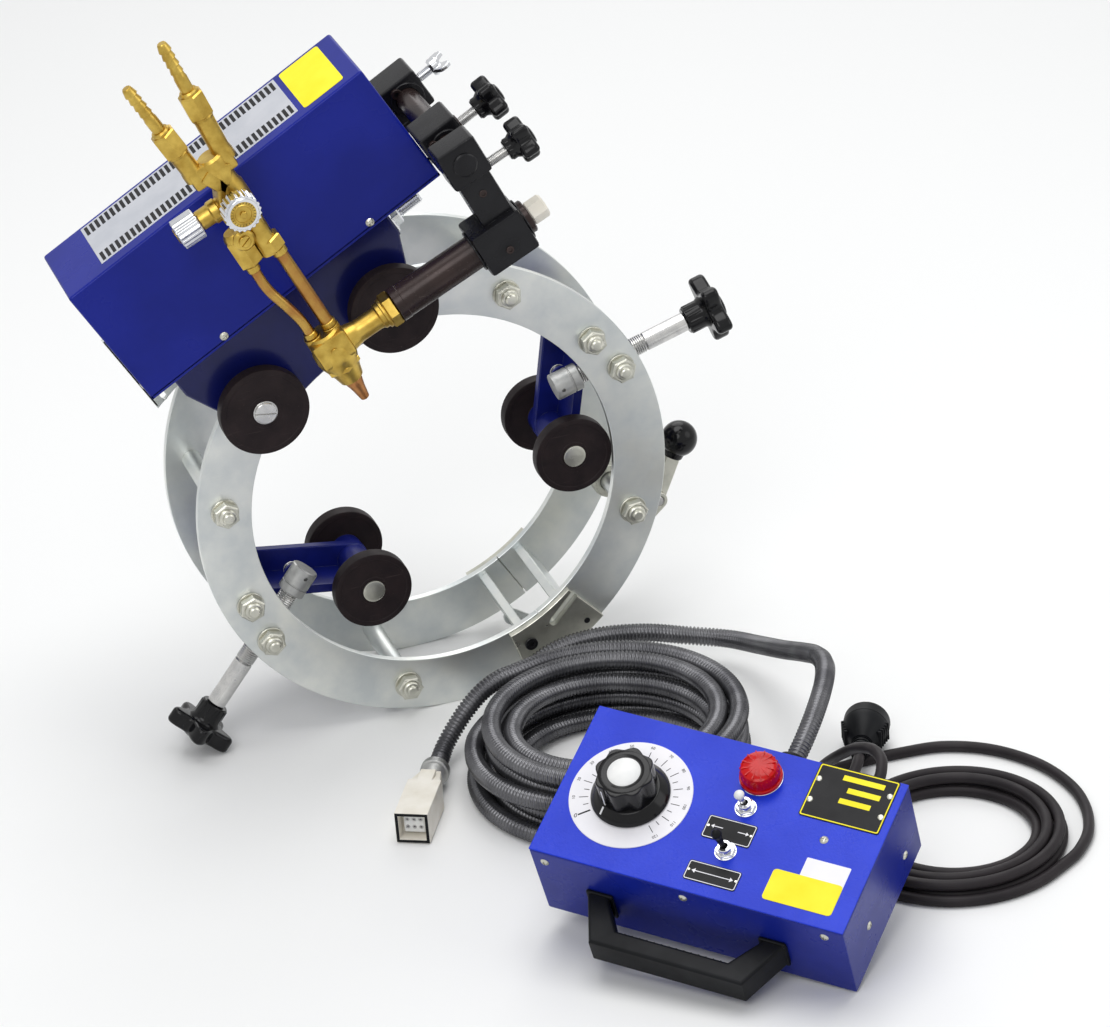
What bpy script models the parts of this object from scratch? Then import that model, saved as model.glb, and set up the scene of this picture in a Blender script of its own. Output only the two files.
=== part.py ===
# Pipe cutting machine: a split ring with two screw-set roller arms, a geared drive unit on top,
# a torch on a cross bar, and a control box with its hose and its mains cable.

import math

import bmesh
import bpy
from mathutils import Euler, Matrix, Vector

mm = 0.001
turn = 2 * math.pi
half_turn = math.pi
quarter_turn = math.pi / 2
running_gap = 0.3 * mm
overrun = 2 * mm
weld_distance = 0.00001

# Sides of the round pieces, from the largest to the smallest
wheel_steps = 18
turned_steps = 12
nut_steps = 10
bar_steps = 8

# Ring plates, measured in the ring's own frame: x along the drive box, y away from the torch,
# z towards the drive box, with zero at the ring's centre on the front plate's face.
ring_x = 7.1 * mm
ring_y = 209.4 * mm
ring_tilt = math.radians(29.1)
ring_radius = 200 * mm
ring_band = 45 * mm
ring_bore = ring_radius - ring_band
plate_thickness = 6 * mm
ring_depth = 112 * mm
bolt_inset = 22.5 * mm
bolt_circle = ring_radius - bolt_inset
swing_hinge_angle = math.radians(31)
split_angle = math.radians(181)
split_gap = 0.8 * mm
hinge_end_gap = 0.7 * mm
swing_opening = math.radians(60)
arc_step = math.radians(9)
upper_bolt_angle = math.radians(-54)
lower_bolt_angle = math.radians(53.8)
arm_bolt_angle = math.radians(83)
trunnion_bolt_angle = math.radians(95)
end_bolt_angle = math.radians(138)
trunnion_inset = 17.6 * mm
trunnion_circle = ring_radius - trunnion_inset

# Tie bars with their washers and dome nuts
bolt_radius = 6 * mm
bolt_clearance = 0.35 * mm
bar_radius = 8 * mm
washer_thickness = 2 * mm
nut_flats = 19 * mm
nut_height = 8 * mm
dome_radius = 7.6 * mm
dome_height = 5.5 * mm

# Splice of the two halves
end_bar_width = 28 * mm
end_bar_inset = 26.5 * mm
end_bar_circle = ring_radius - end_bar_inset
end_bar_thickness = 8 * mm
lower_end_bar_angle = math.radians(174.2)
upper_end_bar_angle = math.radians(187.9)
splice_plate_thickness = 6 * mm
splice_from_angle = math.radians(170)
splice_to_angle = math.radians(193)
splice_margin = 1 * mm
splice_inner = ring_bore + splice_margin
splice_outer = ring_radius - splice_margin
splice_slot_width = 7.5 * mm
splice_slot_from_angle = math.radians(183)
splice_slot_inset = 32 * mm
splice_slot_radius = ring_radius - splice_slot_inset
splice_screw_radius = 5.5 * mm
splice_screw_height = 2.2 * mm
catch_radius = 5 * mm
catch_inset = 6 * mm
catch_circle = ring_radius - catch_inset
catch_angle = math.radians(178.3)
catch_lug_width = 14 * mm

# Hinge links
link_thickness = 5 * mm
link_inner_margin = 6 * mm
link_outer_margin = 3 * mm
link_inner = ring_bore + link_inner_margin
link_outer = ring_radius - link_outer_margin
link_end_angle = math.radians(9)
link_bolt_angle = math.radians(13)
link_rivet_radius = 4 * mm
hinge_head_height = 3 * mm

# Drive unit base
wheel_spread = 130 * mm
axle_inset = 26.6 * mm
axle_height = ring_radius - axle_inset
axle_radius = 7 * mm
cheek_thickness = 13.7 * mm
base_half_width = 106 * mm
base_shoulder_rise = 16 * mm
base_shoulder = ring_radius + base_shoulder_rise
base_waist_half = 94 * mm
base_waist_drop = 14 * mm
base_waist = ring_radius - base_waist_drop
axle_lug_half = 77 * mm
axle_lug_drop = 1.4 * mm
axle_lug = axle_height - axle_lug_drop
axle_toe_half = 67 * mm
axle_toe_margin = 5 * mm
axle_toe = ring_bore + axle_toe_margin
base_arc_margin = 3 * mm
base_arc_radius = ring_bore + base_arc_margin
base_arc_half_angle = math.radians(22)
deck_thickness = 10.5 * mm
deck_rise = 45 * mm
deck_top = ring_radius + deck_rise
window_half_width = 25 * mm
window_front = 11 * mm
window_rear = 49 * mm
base_edge = 1.5 * mm

# Drive wheels
wheel_radius = 36.5 * mm
wheel_thickness = 12 * mm
wheel_edge = 1.5 * mm
front_wheel_y = -30 * mm
rear_wheel_y = 142 * mm
axle_head_radius = 10 * mm
axle_head_height = 2.5 * mm
axle_slot_width = 1.6 * mm
axle_slot_depth = 1.2 * mm
axle_slot_angle = math.radians(-38)
axle_collar_radius = 11 * mm

# Gears between the motor and the axles
gear_module = 3 * mm
central_teeth = 25
axle_teeth = 20
gear_y = 68 * mm
gear_width = 11 * mm
tooth_tip_share = 0.08
tooth_root_share = 0.5
addendum_share = 0.75
gear_backlash = 0.6 * mm
dedendum_share = 1.25
gear_shaft_radius = 8 * mm
shaft_gap = 0.4 * mm
shaft_tail = 7 * mm

# Gear motor in the drive box
gearbox_half_width = 22 * mm
gearbox_front = 14 * mm
gearbox_rear = 46 * mm
gearbox_low = axle_lug
gearbox_head_half = 25 * mm
gearbox_head_front = -28 * mm
gearbox_head_rise = 13 * mm
gearbox_head_height = 80 * mm
gearbox_head_low = deck_top + gearbox_head_rise
gearbox_head_top = gearbox_head_low + gearbox_head_height
motor_radius = 34 * mm
motor_y = 6 * mm
motor_rise = 55 * mm
motor_z = deck_top + motor_rise
motor_length = 112 * mm
motor_foot_width = 26 * mm
motor_foot_length = 90 * mm

# Drive box cover
cover_left = -126.3 * mm
cover_right = 158 * mm
cover_front = -40 * mm
cover_rear = 50 * mm
cover_height = 113 * mm
cover_top = deck_top + cover_height
cover_wall = 2 * mm
cover_edge = 2 * mm
floor_thickness = 3 * mm
floor_gap = 0.4 * mm

# Steel bracket between the deck and the rear plate
bracket_width = 31 * mm
bracket_left = -base_half_width - bracket_width
bracket_drop = 34 * mm
bracket_low = ring_radius - bracket_drop
bracket_front = 96 * mm
bracket_thickness = 4 * mm
bracket_slot_inset = 10 * mm
bracket_slot_rise = 5 * mm
bracket_slot_x = bracket_left + bracket_slot_inset
bracket_slot_z = bracket_low + bracket_slot_rise
bracket_slot_length = 11 * mm
bracket_slot_width = 5 * mm

# Roller arms
arm_length = 107.5 * mm
left_arm_angle = math.radians(52)
right_arm_angle = math.radians(39.8)
roller_radius = 33 * mm
roller_thickness = 12 * mm
roller_edge = 1.5 * mm
front_roller_y = 14 * mm
rear_roller_y = 98 * mm
roller_axle_radius = 6 * mm
roller_boss_radius = 14 * mm
roller_boss_front = 21.5 * mm
roller_boss_rear = 90.5 * mm
pivot_boss_radius = 15 * mm
pivot_boss_front = 30 * mm
pivot_boss_rear = 86 * mm
arm_cheek = 8 * mm
arm_cheek_front = 33.5 * mm
arm_cheek_rear = 70 * mm
arm_web = 8 * mm
arm_web_shift = 9 * mm
collar_ear_radius = 13 * mm
collar_reach = 45 * mm
collar_offset = 10.5 * mm
collar_pin_radius = 5 * mm
collar_pin_hole = 8.2 * mm
roller_axle_head = 9.5 * mm
roller_axle_head_height = 1.4 * mm

# Setting spindles
spindle_y = 19 * mm
spindle_radius = 8 * mm
left_spindle_length = 126 * mm
right_spindle_length = 111 * mm
spindle_start = 1.2 * mm
collar_radius = 11.5 * mm
collar_length = 24 * mm
trunnion_radius = 13 * mm
trunnion_rear = 31.5 * mm
knob_hub_radius = 12 * mm
knob_hub_length = 17 * mm
star_radius = 29.5 * mm
star_lobe = 4.8 * mm
star_thickness = 14 * mm
star_lobes = 5
star_boss_radius = 14 * mm
star_boss_height = 4 * mm

# Latch on the upper half
lever_y = 56 * mm
lever_thickness = 10 * mm
lever_hub_radius = 15 * mm
lever_elbow_radius = 9 * mm
lever_elbow_reach = 24 * mm
lever_elbow_circle = ring_radius + lever_elbow_reach
lever_elbow_angle = math.radians(-141)
lever_tip_radius = 6 * mm
ball_radius = 15.5 * mm
ball_reach = 36 * mm
ball_circle = ring_radius + ball_reach
ball_angle = math.radians(-127.5)
ball_neck_radius = 5 * mm
hook_pin_radius = 4.5 * mm
hook_y_gap = 0.4 * mm
hook_thickness = 6 * mm
hook_eye_radius = 8 * mm
hook_nose_radius = 8.5 * mm
hook_lift = 9 * mm
hook_bite_clearance = 0.8 * mm

# Torch holder
bar_axis_x = 176 * mm
bar_axis_rise = 25 * mm
bar_axis_z = deck_top + bar_axis_rise
cross_bar_radius = 10 * mm
cross_bar_front = -96 * mm
cross_bar_rear = 96 * mm
holder_front = 50.6 * mm
holder_rear = 86 * mm
holder_half = 17.2 * mm
holder_foot_thickness = 10 * mm
holder_foot_inner = 60 * mm
holder_edge = 2 * mm
angle_clamp_front = -56 * mm
angle_clamp_rear = -18 * mm
angle_clamp_half = 17.2 * mm
swivel_angle = math.radians(4.2)
swivel_front = -99 * mm
swivel_rear = -71 * mm
swivel_y = -85 * mm
swivel_half = 17 * mm
torch_bar_drop = 74 * mm
torch_bar_radius = 14 * mm
torch_bar_left = -103 * mm
torch_bar_right = 22 * mm
bar_clamp_left = -28 * mm
bar_clamp_right = 16 * mm
bar_clamp_half = 19 * mm
cream_nut_flats = 17 * mm
cream_nut_length = 15 * mm
clamp_stud_radius = 4 * mm
clamp_stud_length = 16 * mm
small_star_radius = 19 * mm
small_star_thickness = 14 * mm
wing_radius = 9 * mm
wing_span = 15 * mm
wing_thickness = 4 * mm
wing_stud_length = 12 * mm

# Torch, measured from the cross bar's axis
torch_x = -162 * mm
head_top = -56 * mm
head_radius = 16 * mm
head_shoulder = -84 * mm
head_low = -105 * mm
head_neck_radius = 8.5 * mm
nozzle_tip = -126 * mm
nozzle_radius = 6.5 * mm
nozzle_tip_radius = 3.2 * mm
side_tube_radius = 9 * mm
flange_flats = 25 * mm
flange_thickness = 9 * mm
pipe_radius = 5.2 * mm
thin_pipe_radius = 4.2 * mm
pipe_spread = 8 * mm
pipe_bow = 8 * mm
body_low = 26 * mm
body_top = 122 * mm
body_radius = 12 * mm
union_radius = 9 * mm
valve_z = 80 * mm
valve_seat_radius = 9 * mm
valve_seat_length = 5 * mm
front_valve_radius = 15 * mm
front_valve_length = 15 * mm
side_valve_radius = 12.5 * mm
side_valve_length = 20 * mm
side_valve_reach = 30 * mm
valve_flutes = 10
valve_flute_depth = 1 * mm
tail_spread = 13 * mm
tail_hex_flats = 18 * mm
tail_hex_length = 32 * mm
right_tail_rise = 18 * mm
left_tail_rise = 4 * mm
tail_radius = 5.2 * mm
tail_length = 46 * mm
tail_lean = math.radians(4)

# Motor socket under the drive box
socket_y = 14 * mm
socket_drop = 24 * mm
socket_z = deck_top - socket_drop
socket_radius = 10 * mm
socket_length = 30 * mm
socket_nut_radius = 12.5 * mm
socket_nut_length = 9 * mm
socket_lug_half = 15 * mm
socket_lug_thickness = 6 * mm

# Control box: its frame has x along the front, y to the back and z up through the panel
box_length = 254 * mm
box_width = 135.5 * mm
box_height = 82 * mm
box_place = (-39.8 * mm, -362.3 * mm, 20.5 * mm)
box_heading = math.radians(-45.05)
box_pitch = math.radians(4.51)
box_roll = math.radians(24.47)
sheet = 1.5 * mm
panel_lip = 22 * mm
box_edge = 1 * mm
dial_x = 56.3 * mm
dial_y = 66.5 * mm
knob_skirt_radius = 30.5 * mm
knob_skirt_height = 9 * mm
knob_body_radius = 23 * mm
knob_body_height = 30 * mm
knob_wave = 1.6 * mm
knob_waves = 8
knob_cap_radius = 13 * mm
knob_cap_height = 2.5 * mm
knob_lift = 1.6 * mm
lamp_x = 145.5 * mm
lamp_y = 109.5 * mm
lamp_radius = 15 * mm
lamp_height = 17 * mm
lamp_bezel = 16.5 * mm
lamp_bezel_height = 3.5 * mm
toggle_x = 144.5 * mm
power_toggle_y = 80.8 * mm
direction_toggle_y = 40.9 * mm
toggle_nut_radius = 7.5 * mm
toggle_nut_height = 4 * mm
toggle_bush_radius = 5.5 * mm
toggle_bush_height = 8 * mm
toggle_bore = 4.4 * mm
toggle_lever_radius = 1.8 * mm
toggle_tip_radius = 2.8 * mm
toggle_lever_length = 20 * mm
toggle_pivot = 2.5 * mm
toggle_lean = math.radians(11)
handle_left = 50.2 * mm
handle_right = 195.6 * mm
handle_grip_inset = 19 * mm
handle_reach = 42 * mm
handle_centre_z = 32 * mm
handle_height = 26 * mm
handle_grip_thickness = 15 * mm
handle_leg_thickness = 17 * mm
handle_edge = 3 * mm
gland_z = 42 * mm
hose_gland_x = 148 * mm
cable_gland_x = 216 * mm
hose_gland_radius = 14 * mm
hose_gland_length = 20 * mm
cable_gland_radius = 8 * mm
cable_gland_length = 16 * mm

# Hose: ribbed conduit from the control box to the motor socket's connector
hose_radius = 8 * mm
hose_rib_depth = 0.9 * mm
hose_bore_radius = 5 * mm
hose_rib_pitch = 15 * mm
hose_loop_gap = 0.9 * mm
hose_coil_centre = (79 * mm, -176 * mm)
hose_coil_radius = 112 * mm
hose_coil_loops = 2
hose_coil_turns = 7.875
hose_coil_start = math.radians(150)
loop_points = 24

# Mains cable
cable_radius = 4.5 * mm
cable_loop_gap = 0.9 * mm
cable_coil_centre = (287 * mm, -380 * mm)
cable_coil_radius = 94 * mm
cable_coil_loops = 3
cable_coil_turns = 5 + 5 / 12
cable_coil_start = math.radians(-60)

# Hose connector and mains plug
hood_gland_radius = 12 * mm
hood_gland_length = 18 * mm
hood_width = 28 * mm
hood_height = 27.6 * mm
hood_length = 24 * mm
hood_body_length = 50 * mm
hood_neck_share = 0.68
hood_wall = 3 * mm
hood_mouth_depth = 14 * mm
hood_insert_setback = 8 * mm
hood_insert_width = 17 * mm
plug_sleeve_radius = 6.5 * mm
plug_sleeve_length = 22 * mm
plug_radius = 19 * mm
plug_back_length = 24 * mm
plug_face_length = 12 * mm
plug_pin_radius = 2.4 * mm
plug_pin_length = 19 * mm
plug_pin_spread = 19 * mm


# Small tools

def clear_scene():
    for old in list(bpy.data.objects):
        bpy.data.objects.remove(old)
    for group in list(bpy.data.collections):
        bpy.data.collections.remove(group)


def make_material(name, color, roughness, metallic):
    material = bpy.data.materials.new(name)
    material.use_nodes = True
    shader = material.node_tree.nodes["Principled BSDF"]
    shader.inputs["Base Color"].default_value = (*color, 1)
    shader.inputs["Roughness"].default_value = roughness
    shader.inputs["Metallic"].default_value = metallic
    material.diffuse_color = (*color, 1)
    return material


def temporary(data):
    piece = bpy.data.objects.new("temporary", data)
    bpy.context.scene.collection.objects.link(piece)
    return piece


def tidy_mesh(mesh, distance=weld_distance):
    work = bmesh.new()
    work.from_mesh(mesh)
    bmesh.ops.remove_doubles(work, verts=work.verts, dist=distance)
    bmesh.ops.recalc_face_normals(work, faces=work.faces)
    work.to_mesh(mesh)
    work.free()
    return mesh


def take_mesh(piece):
    bpy.context.view_layer.update()
    graph = bpy.context.evaluated_depsgraph_get()
    mesh = bpy.data.meshes.new_from_object(piece.evaluated_get(graph))
    bpy.data.objects.remove(piece)
    return tidy_mesh(mesh)


def moved(mesh, matrix):
    mesh.transform(matrix)
    if matrix.determinant() < 0:
        mesh.flip_normals()
    return mesh


def copied(mesh, matrix):
    return moved(mesh.copy(), matrix)


def shift(x, y, z):
    return Matrix.Translation((x, y, z))


def spin_y(angle):
    return Matrix.Rotation(angle, 4, "Y")


along_x = Matrix.Rotation(quarter_turn, 4, "Y")
along_y = Matrix.Rotation(-quarter_turn, 4, "X")
against_y = Matrix.Rotation(quarter_turn, 4, "X")
upright = Matrix.Rotation(quarter_turn, 4, "X")


def block(low, high, bevel=0, segments=1):
    work = bmesh.new()
    bmesh.ops.create_cube(work, size=1)
    size = [high[i] - low[i] for i in range(3)]
    middle = [(high[i] + low[i]) / 2 for i in range(3)]
    bmesh.ops.scale(work, vec=size, verts=work.verts)
    bmesh.ops.translate(work, vec=middle, verts=work.verts)
    if bevel:
        bmesh.ops.bevel(work, geom=list(work.edges), offset=bevel, segments=segments, profile=0.5,
                        affect="EDGES", material=-1)
    mesh = bpy.data.meshes.new("block")
    work.to_mesh(mesh)
    work.free()
    return mesh


def turned(profile, steps=turned_steps, ring=False):
    # The profile runs from the top down the outer side, as pairs of radius and height
    count = len(profile)
    edges = [(i, i + 1) for i in range(count - 1)]
    if ring:
        edges.append((count - 1, 0))
    mesh = bpy.data.meshes.new("profile")
    mesh.from_pydata([(radius, 0, height) for radius, height in profile], edges, [])
    piece = temporary(mesh)
    screw = piece.modifiers.new("Turn", "SCREW")
    screw.steps = steps
    screw.render_steps = steps
    screw.use_merge_vertices = True
    screw.merge_threshold = weld_distance
    return take_mesh(piece)


def rod(radius, low, high, steps=nut_steps, bevel=0):
    if bevel:
        return turned([(0, high), (radius - bevel, high), (radius, high - bevel), (radius, low + bevel),
                       (radius - bevel, low), (0, low)], steps)
    return turned([(0, high), (radius, high), (radius, low), (0, low)], steps)


def bore(radius, low, high, steps=nut_steps):
    # A round way whose flats keep the radius clear
    return rod(radius / math.cos(half_turn / steps), low - overrun, high + overrun, steps)


def hexagon(flats, low, high, bevel=0):
    corner = flats / 2 / math.cos(turn / 12)
    return rod(corner, low, high, 6, bevel)


def plate(outline, low, high, holes=()):
    # A flat outline in x and z with its thickness along y, from low to high
    curve = bpy.data.curves.new("outline", "CURVE")
    curve.dimensions = "2D"
    curve.fill_mode = "BOTH"
    curve.extrude = (high - low) / 2
    for path in (outline, *holes):
        spline = curve.splines.new("POLY")
        spline.points.add(len(path) - 1)
        for point, (x, z) in zip(spline.points, path):
            point.co = (x, z, 0, 1)
        spline.use_cyclic_u = True
    mesh = take_mesh(temporary(curve))
    return moved(mesh, shift(0, (high + low) / 2, 0) @ upright)


def tube(points, radius, resolution=2, radii=None):
    curve = bpy.data.curves.new("route", "CURVE")
    curve.dimensions = "3D"
    curve.bevel_depth = radius
    curve.bevel_resolution = resolution
    curve.use_fill_caps = True
    spline = curve.splines.new("POLY")
    spline.points.add(len(points) - 1)
    for i, place in enumerate(points):
        spline.points[i].co = (*place, 1)
        if radii:
            spline.points[i].radius = radii[i] / radius
    return take_mesh(temporary(curve))


def join_solids(first, others, operation="UNION"):
    base = temporary(first)
    cutters = [temporary(other) for other in others]
    for cutter in cutters:
        step = base.modifiers.new("Join", "BOOLEAN")
        step.operation = operation
        step.solver = "EXACT"
        step.object = cutter
        cutter.display_type = "WIRE"
        cutter.hide_render = True
    mesh = take_mesh(base)
    for cutter in cutters:
        bpy.data.objects.remove(cutter)
    return mesh


def cut(first, others):
    return join_solids(first, others, "DIFFERENCE")


def frame_empty(name, parent, matrix):
    empty = bpy.data.objects.new(name, None)
    bpy.context.scene.collection.objects.link(empty)
    empty.parent = parent
    empty.matrix_local = matrix
    return empty


def node(name, meshes, material, parent, pivot=(0, 0, 0)):
    # One named piece: its solids are joined into one mesh about the pivot, which is its joint's place
    work = bmesh.new()
    for mesh in meshes:
        work.from_mesh(mesh)
    bmesh.ops.translate(work, vec=-Vector(pivot), verts=work.verts)
    bmesh.ops.recalc_face_normals(work, faces=work.faces)
    data = bpy.data.meshes.new(name)
    work.to_mesh(data)
    work.free()
    data.shade_smooth()
    data.set_sharp_from_angle(angle=math.radians(35))
    data.materials.append(material)
    piece = bpy.data.objects.new(name, data)
    parts.objects.link(piece)
    piece.parent = parent
    piece.location = pivot
    return piece


def ring_point(radius, angle):
    # The angle runs from the drive side, counter-clockwise as the torch side sees it
    return (-radius * math.sin(angle), radius * math.cos(angle))


def arc(centre, radius, start, end, step=arc_step):
    count = max(2, math.ceil(abs(end - start) / step))
    angles = [start + (end - start) * i / count for i in range(count + 1)]
    return [(centre[0] + radius * math.cos(a), centre[1] + radius * math.sin(a)) for a in angles]


def circle(centre, radius, count=bar_steps):
    return [(centre[0] + radius * math.cos(turn * i / count), centre[1] + radius * math.sin(turn * i / count))
            for i in range(count)]


def hole(centre, radius, count=bar_steps):
    return circle(centre, radius / math.cos(half_turn / count), count)


def ring_arc(radius, start, end, step=arc_step):
    return arc((0, 0), radius, start + quarter_turn, end + quarter_turn, step)


def link_outline(first, first_radius, second, second_radius, step=math.radians(30)):
    # The outline round two circles, as a belt would lie
    dx, dz = second[0] - first[0], second[1] - first[1]
    length = math.hypot(dx, dz)
    heading = math.atan2(dz, dx)
    lean = math.acos((first_radius - second_radius) / length)
    near = arc(first, first_radius, heading + lean, heading + turn - lean, step)
    far = arc(second, second_radius, heading - lean, heading + lean, step)
    return near + far


def wavy_outline(radius, wave, waves, points_per_wave=8):
    count = waves * points_per_wave
    outline = []
    for i in range(count):
        angle = turn * i / count
        reach = radius - wave / 2 + wave / 2 * math.cos(waves * angle)
        outline.append((reach * math.cos(angle), reach * math.sin(angle)))
    return outline


def star_knob(radius, lobe, lobes, thickness, hub_radius, hub_length, boss_radius, boss_height):
    # A lobed grip whose hub points down the axis, with its face up
    lobed = moved(plate(wavy_outline(radius, lobe * 2, lobes, 4), 0, thickness), against_y.inverted())
    lobed = moved(lobed, Matrix.Rotation(half_turn, 4, "X"))
    low = min(v.co.z for v in lobed.vertices)
    moved(lobed, shift(0, 0, hub_length - low))
    core = turned([(0, hub_length + thickness + boss_height), (boss_radius * 0.8, hub_length + thickness + boss_height),
                   (boss_radius, hub_length + thickness - overrun), (boss_radius, hub_length + overrun),
                   (hub_radius, hub_length - overrun), (hub_radius, 0), (0, 0)], bar_steps)
    return join_solids(lobed, [core])


def nut_stack():
    # Hexagon nut with its washer's thickness under it and its dome, standing along +z
    top = washer_thickness + nut_height
    hexed = hexagon(nut_flats, 0, top)
    dome = turned([(0, top + dome_height), (dome_radius * 0.6, top + dome_height * 0.8), (dome_radius, top),
                   (dome_radius, top - overrun), (0, top - overrun)], bar_steps)
    return join_solids(hexed, [dome])


def tie_bar():
    # Fused to the rear plate, with a shoulder behind the front plate and a nut on each side
    inner_low = plate_thickness + running_gap
    bar = turned([(0, ring_depth - overrun), (bar_radius, ring_depth - overrun), (bar_radius, inner_low),
                  (bolt_radius, inner_low), (bolt_radius, -overrun), (0, -overrun)], bar_steps)
    front = copied(nuts, shift(0, 0, -running_gap) @ Matrix.Rotation(half_turn, 4, "X"))
    rear = copied(nuts, shift(0, 0, ring_depth - overrun / 2))
    return join_solids(bar, [front, rear])


def at_ring(mesh, angle, radius=bolt_circle):
    x, z = ring_point(radius, angle)
    return copied(mesh, shift(x, 0, z) @ along_y)


def gear(teeth, phase):
    pitch = turn / teeth
    pitch_radius = gear_module * teeth / 2
    tip = pitch_radius + gear_module * addendum_share
    root = pitch_radius - gear_module * dedendum_share
    outline = []
    for i in range(teeth):
        middle = phase + i * pitch
        for radius, share in ((root, -tooth_root_share), (tip, -tooth_tip_share), (tip, tooth_tip_share)):
            angle = middle + share * pitch
            outline.append((radius * math.cos(angle), radius * math.sin(angle)))
    low = gear_y - gear_width / 2
    return plate(outline, low, low + gear_width)


# Ring

def hinge_point():
    return ring_point(bolt_circle, swing_hinge_angle)


def bolt_holes(angles):
    return [hole(ring_point(bolt_circle, angle), bolt_radius + bolt_clearance) for angle in angles]


def trunnion_hole(angle):
    return hole(ring_point(trunnion_circle, angle), bolt_radius + bolt_clearance)


def upper_plate(low, high, holes):
    # Runs clockwise from the hinge over the drive side to the split
    start = split_angle - turn + split_gap / 2 / bolt_circle
    outline = ring_arc(ring_radius, start, swing_hinge_angle) + ring_arc(ring_bore, swing_hinge_angle, start)
    axles = [hole((side * wheel_spread / 2, axle_height), axle_radius + bolt_clearance, turned_steps) for side in (-1, 1)]
    solid = plate(outline, low, high, holes + axles)
    width = (ring_radius - ring_bore) / 2 + hinge_end_gap
    # A round seat for the lower half's end, opened along its strip at full opening
    outward = swing_hinge_angle + half_turn - swing_opening
    seat = arc(hinge_point(), width, outward + quarter_turn, outward + 3 * quarter_turn, arc_step)
    reach = (ring_radius * math.cos(outward), ring_radius * math.sin(outward))
    seat += [(seat[-1][0] + reach[0], seat[-1][1] + reach[1]), (seat[0][0] + reach[0], seat[0][1] + reach[1])]
    return cut(solid, [plate(seat, low - overrun, high + overrun)])


def lower_plate(low, high, holes):
    end = split_angle - split_gap / 2 / bolt_circle
    width = (ring_radius - ring_bore) / 2
    heading = swing_hinge_angle + quarter_turn
    cap = arc(hinge_point(), width, heading + half_turn, heading + turn, math.radians(15))
    outline = ring_arc(ring_radius, swing_hinge_angle, end) + ring_arc(ring_bore, end, swing_hinge_angle) + cap[1:-1]
    return plate(outline, low, high, holes)


def end_bar(angle):
    # Fused to the rear plate and just clear of the front one
    low = plate_thickness + running_gap
    solid = block((-end_bar_thickness / 2, low, end_bar_circle - end_bar_width / 2),
                  (end_bar_thickness / 2, ring_depth - plate_thickness + overrun, end_bar_circle + end_bar_width / 2),
                  box_edge)
    return moved(solid, spin_y(-angle))


def splice_plate(low, high):
    outline = ring_arc(splice_outer, splice_from_angle, splice_to_angle) + ring_arc(
        splice_inner, splice_to_angle, splice_from_angle)
    start = ring_point(splice_slot_radius, splice_slot_from_angle)
    # The open slot lies along the way in which the lower half swings
    x, z = hinge_point()
    sweep = math.atan2(start[1] - z, start[0] - x) + quarter_turn
    far = (start[0] + end_bar_width * math.cos(sweep), start[1] + end_bar_width * math.sin(sweep))
    half = splice_slot_width / 2
    slot = plate(link_outline(start, half, far, half * 1.001), low - overrun, high + overrun)
    return cut(plate(outline, low, high), [slot])


def splice_screw(low, high):
    return at_ring(rod(splice_screw_radius, low, high, 12), lower_end_bar_angle, bolt_circle - splice_screw_radius)


def hinge_link(low, rivet_low, rivet_high):
    # A link inside the plates, riveted to the upper half and turning on the hinge bolt
    width = (link_outer - link_inner) / 2
    middle = (link_outer + link_inner) / 2
    heading = swing_hinge_angle + quarter_turn
    cap = arc(ring_point(middle, swing_hinge_angle), width, heading, heading + half_turn, math.radians(20))
    outline = (ring_arc(link_outer, link_end_angle, swing_hinge_angle)[:-1] + cap
               + ring_arc(link_inner, swing_hinge_angle, link_end_angle)[1:])
    holes = [hole(hinge_point(), bolt_radius + bolt_clearance),
             hole((-wheel_spread / 2, axle_height), axle_radius + bolt_clearance, turned_steps)]
    solid = plate(outline, low, low + link_thickness, holes)
    rivet = at_ring(rod(link_rivet_radius, rivet_low, rivet_high, 12), link_bolt_angle, middle)
    return join_solids(solid, [rivet])


def hinge_stub():
    # The hinge bolt of the front plate: its nut outside, and its head inside the link
    head_low = plate_thickness + link_thickness + 2 * running_gap
    stub = turned([(0, head_low + hinge_head_height), (bar_radius, head_low + hinge_head_height), (bar_radius, head_low),
                   (bolt_radius, head_low), (bolt_radius, -overrun), (0, -overrun)], bar_steps)
    nut = copied(nuts, shift(0, 0, overrun / 2) @ Matrix.Rotation(half_turn, 4, "X"))
    return [at_ring(stub, swing_hinge_angle), at_ring(nut, swing_hinge_angle)]


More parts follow.
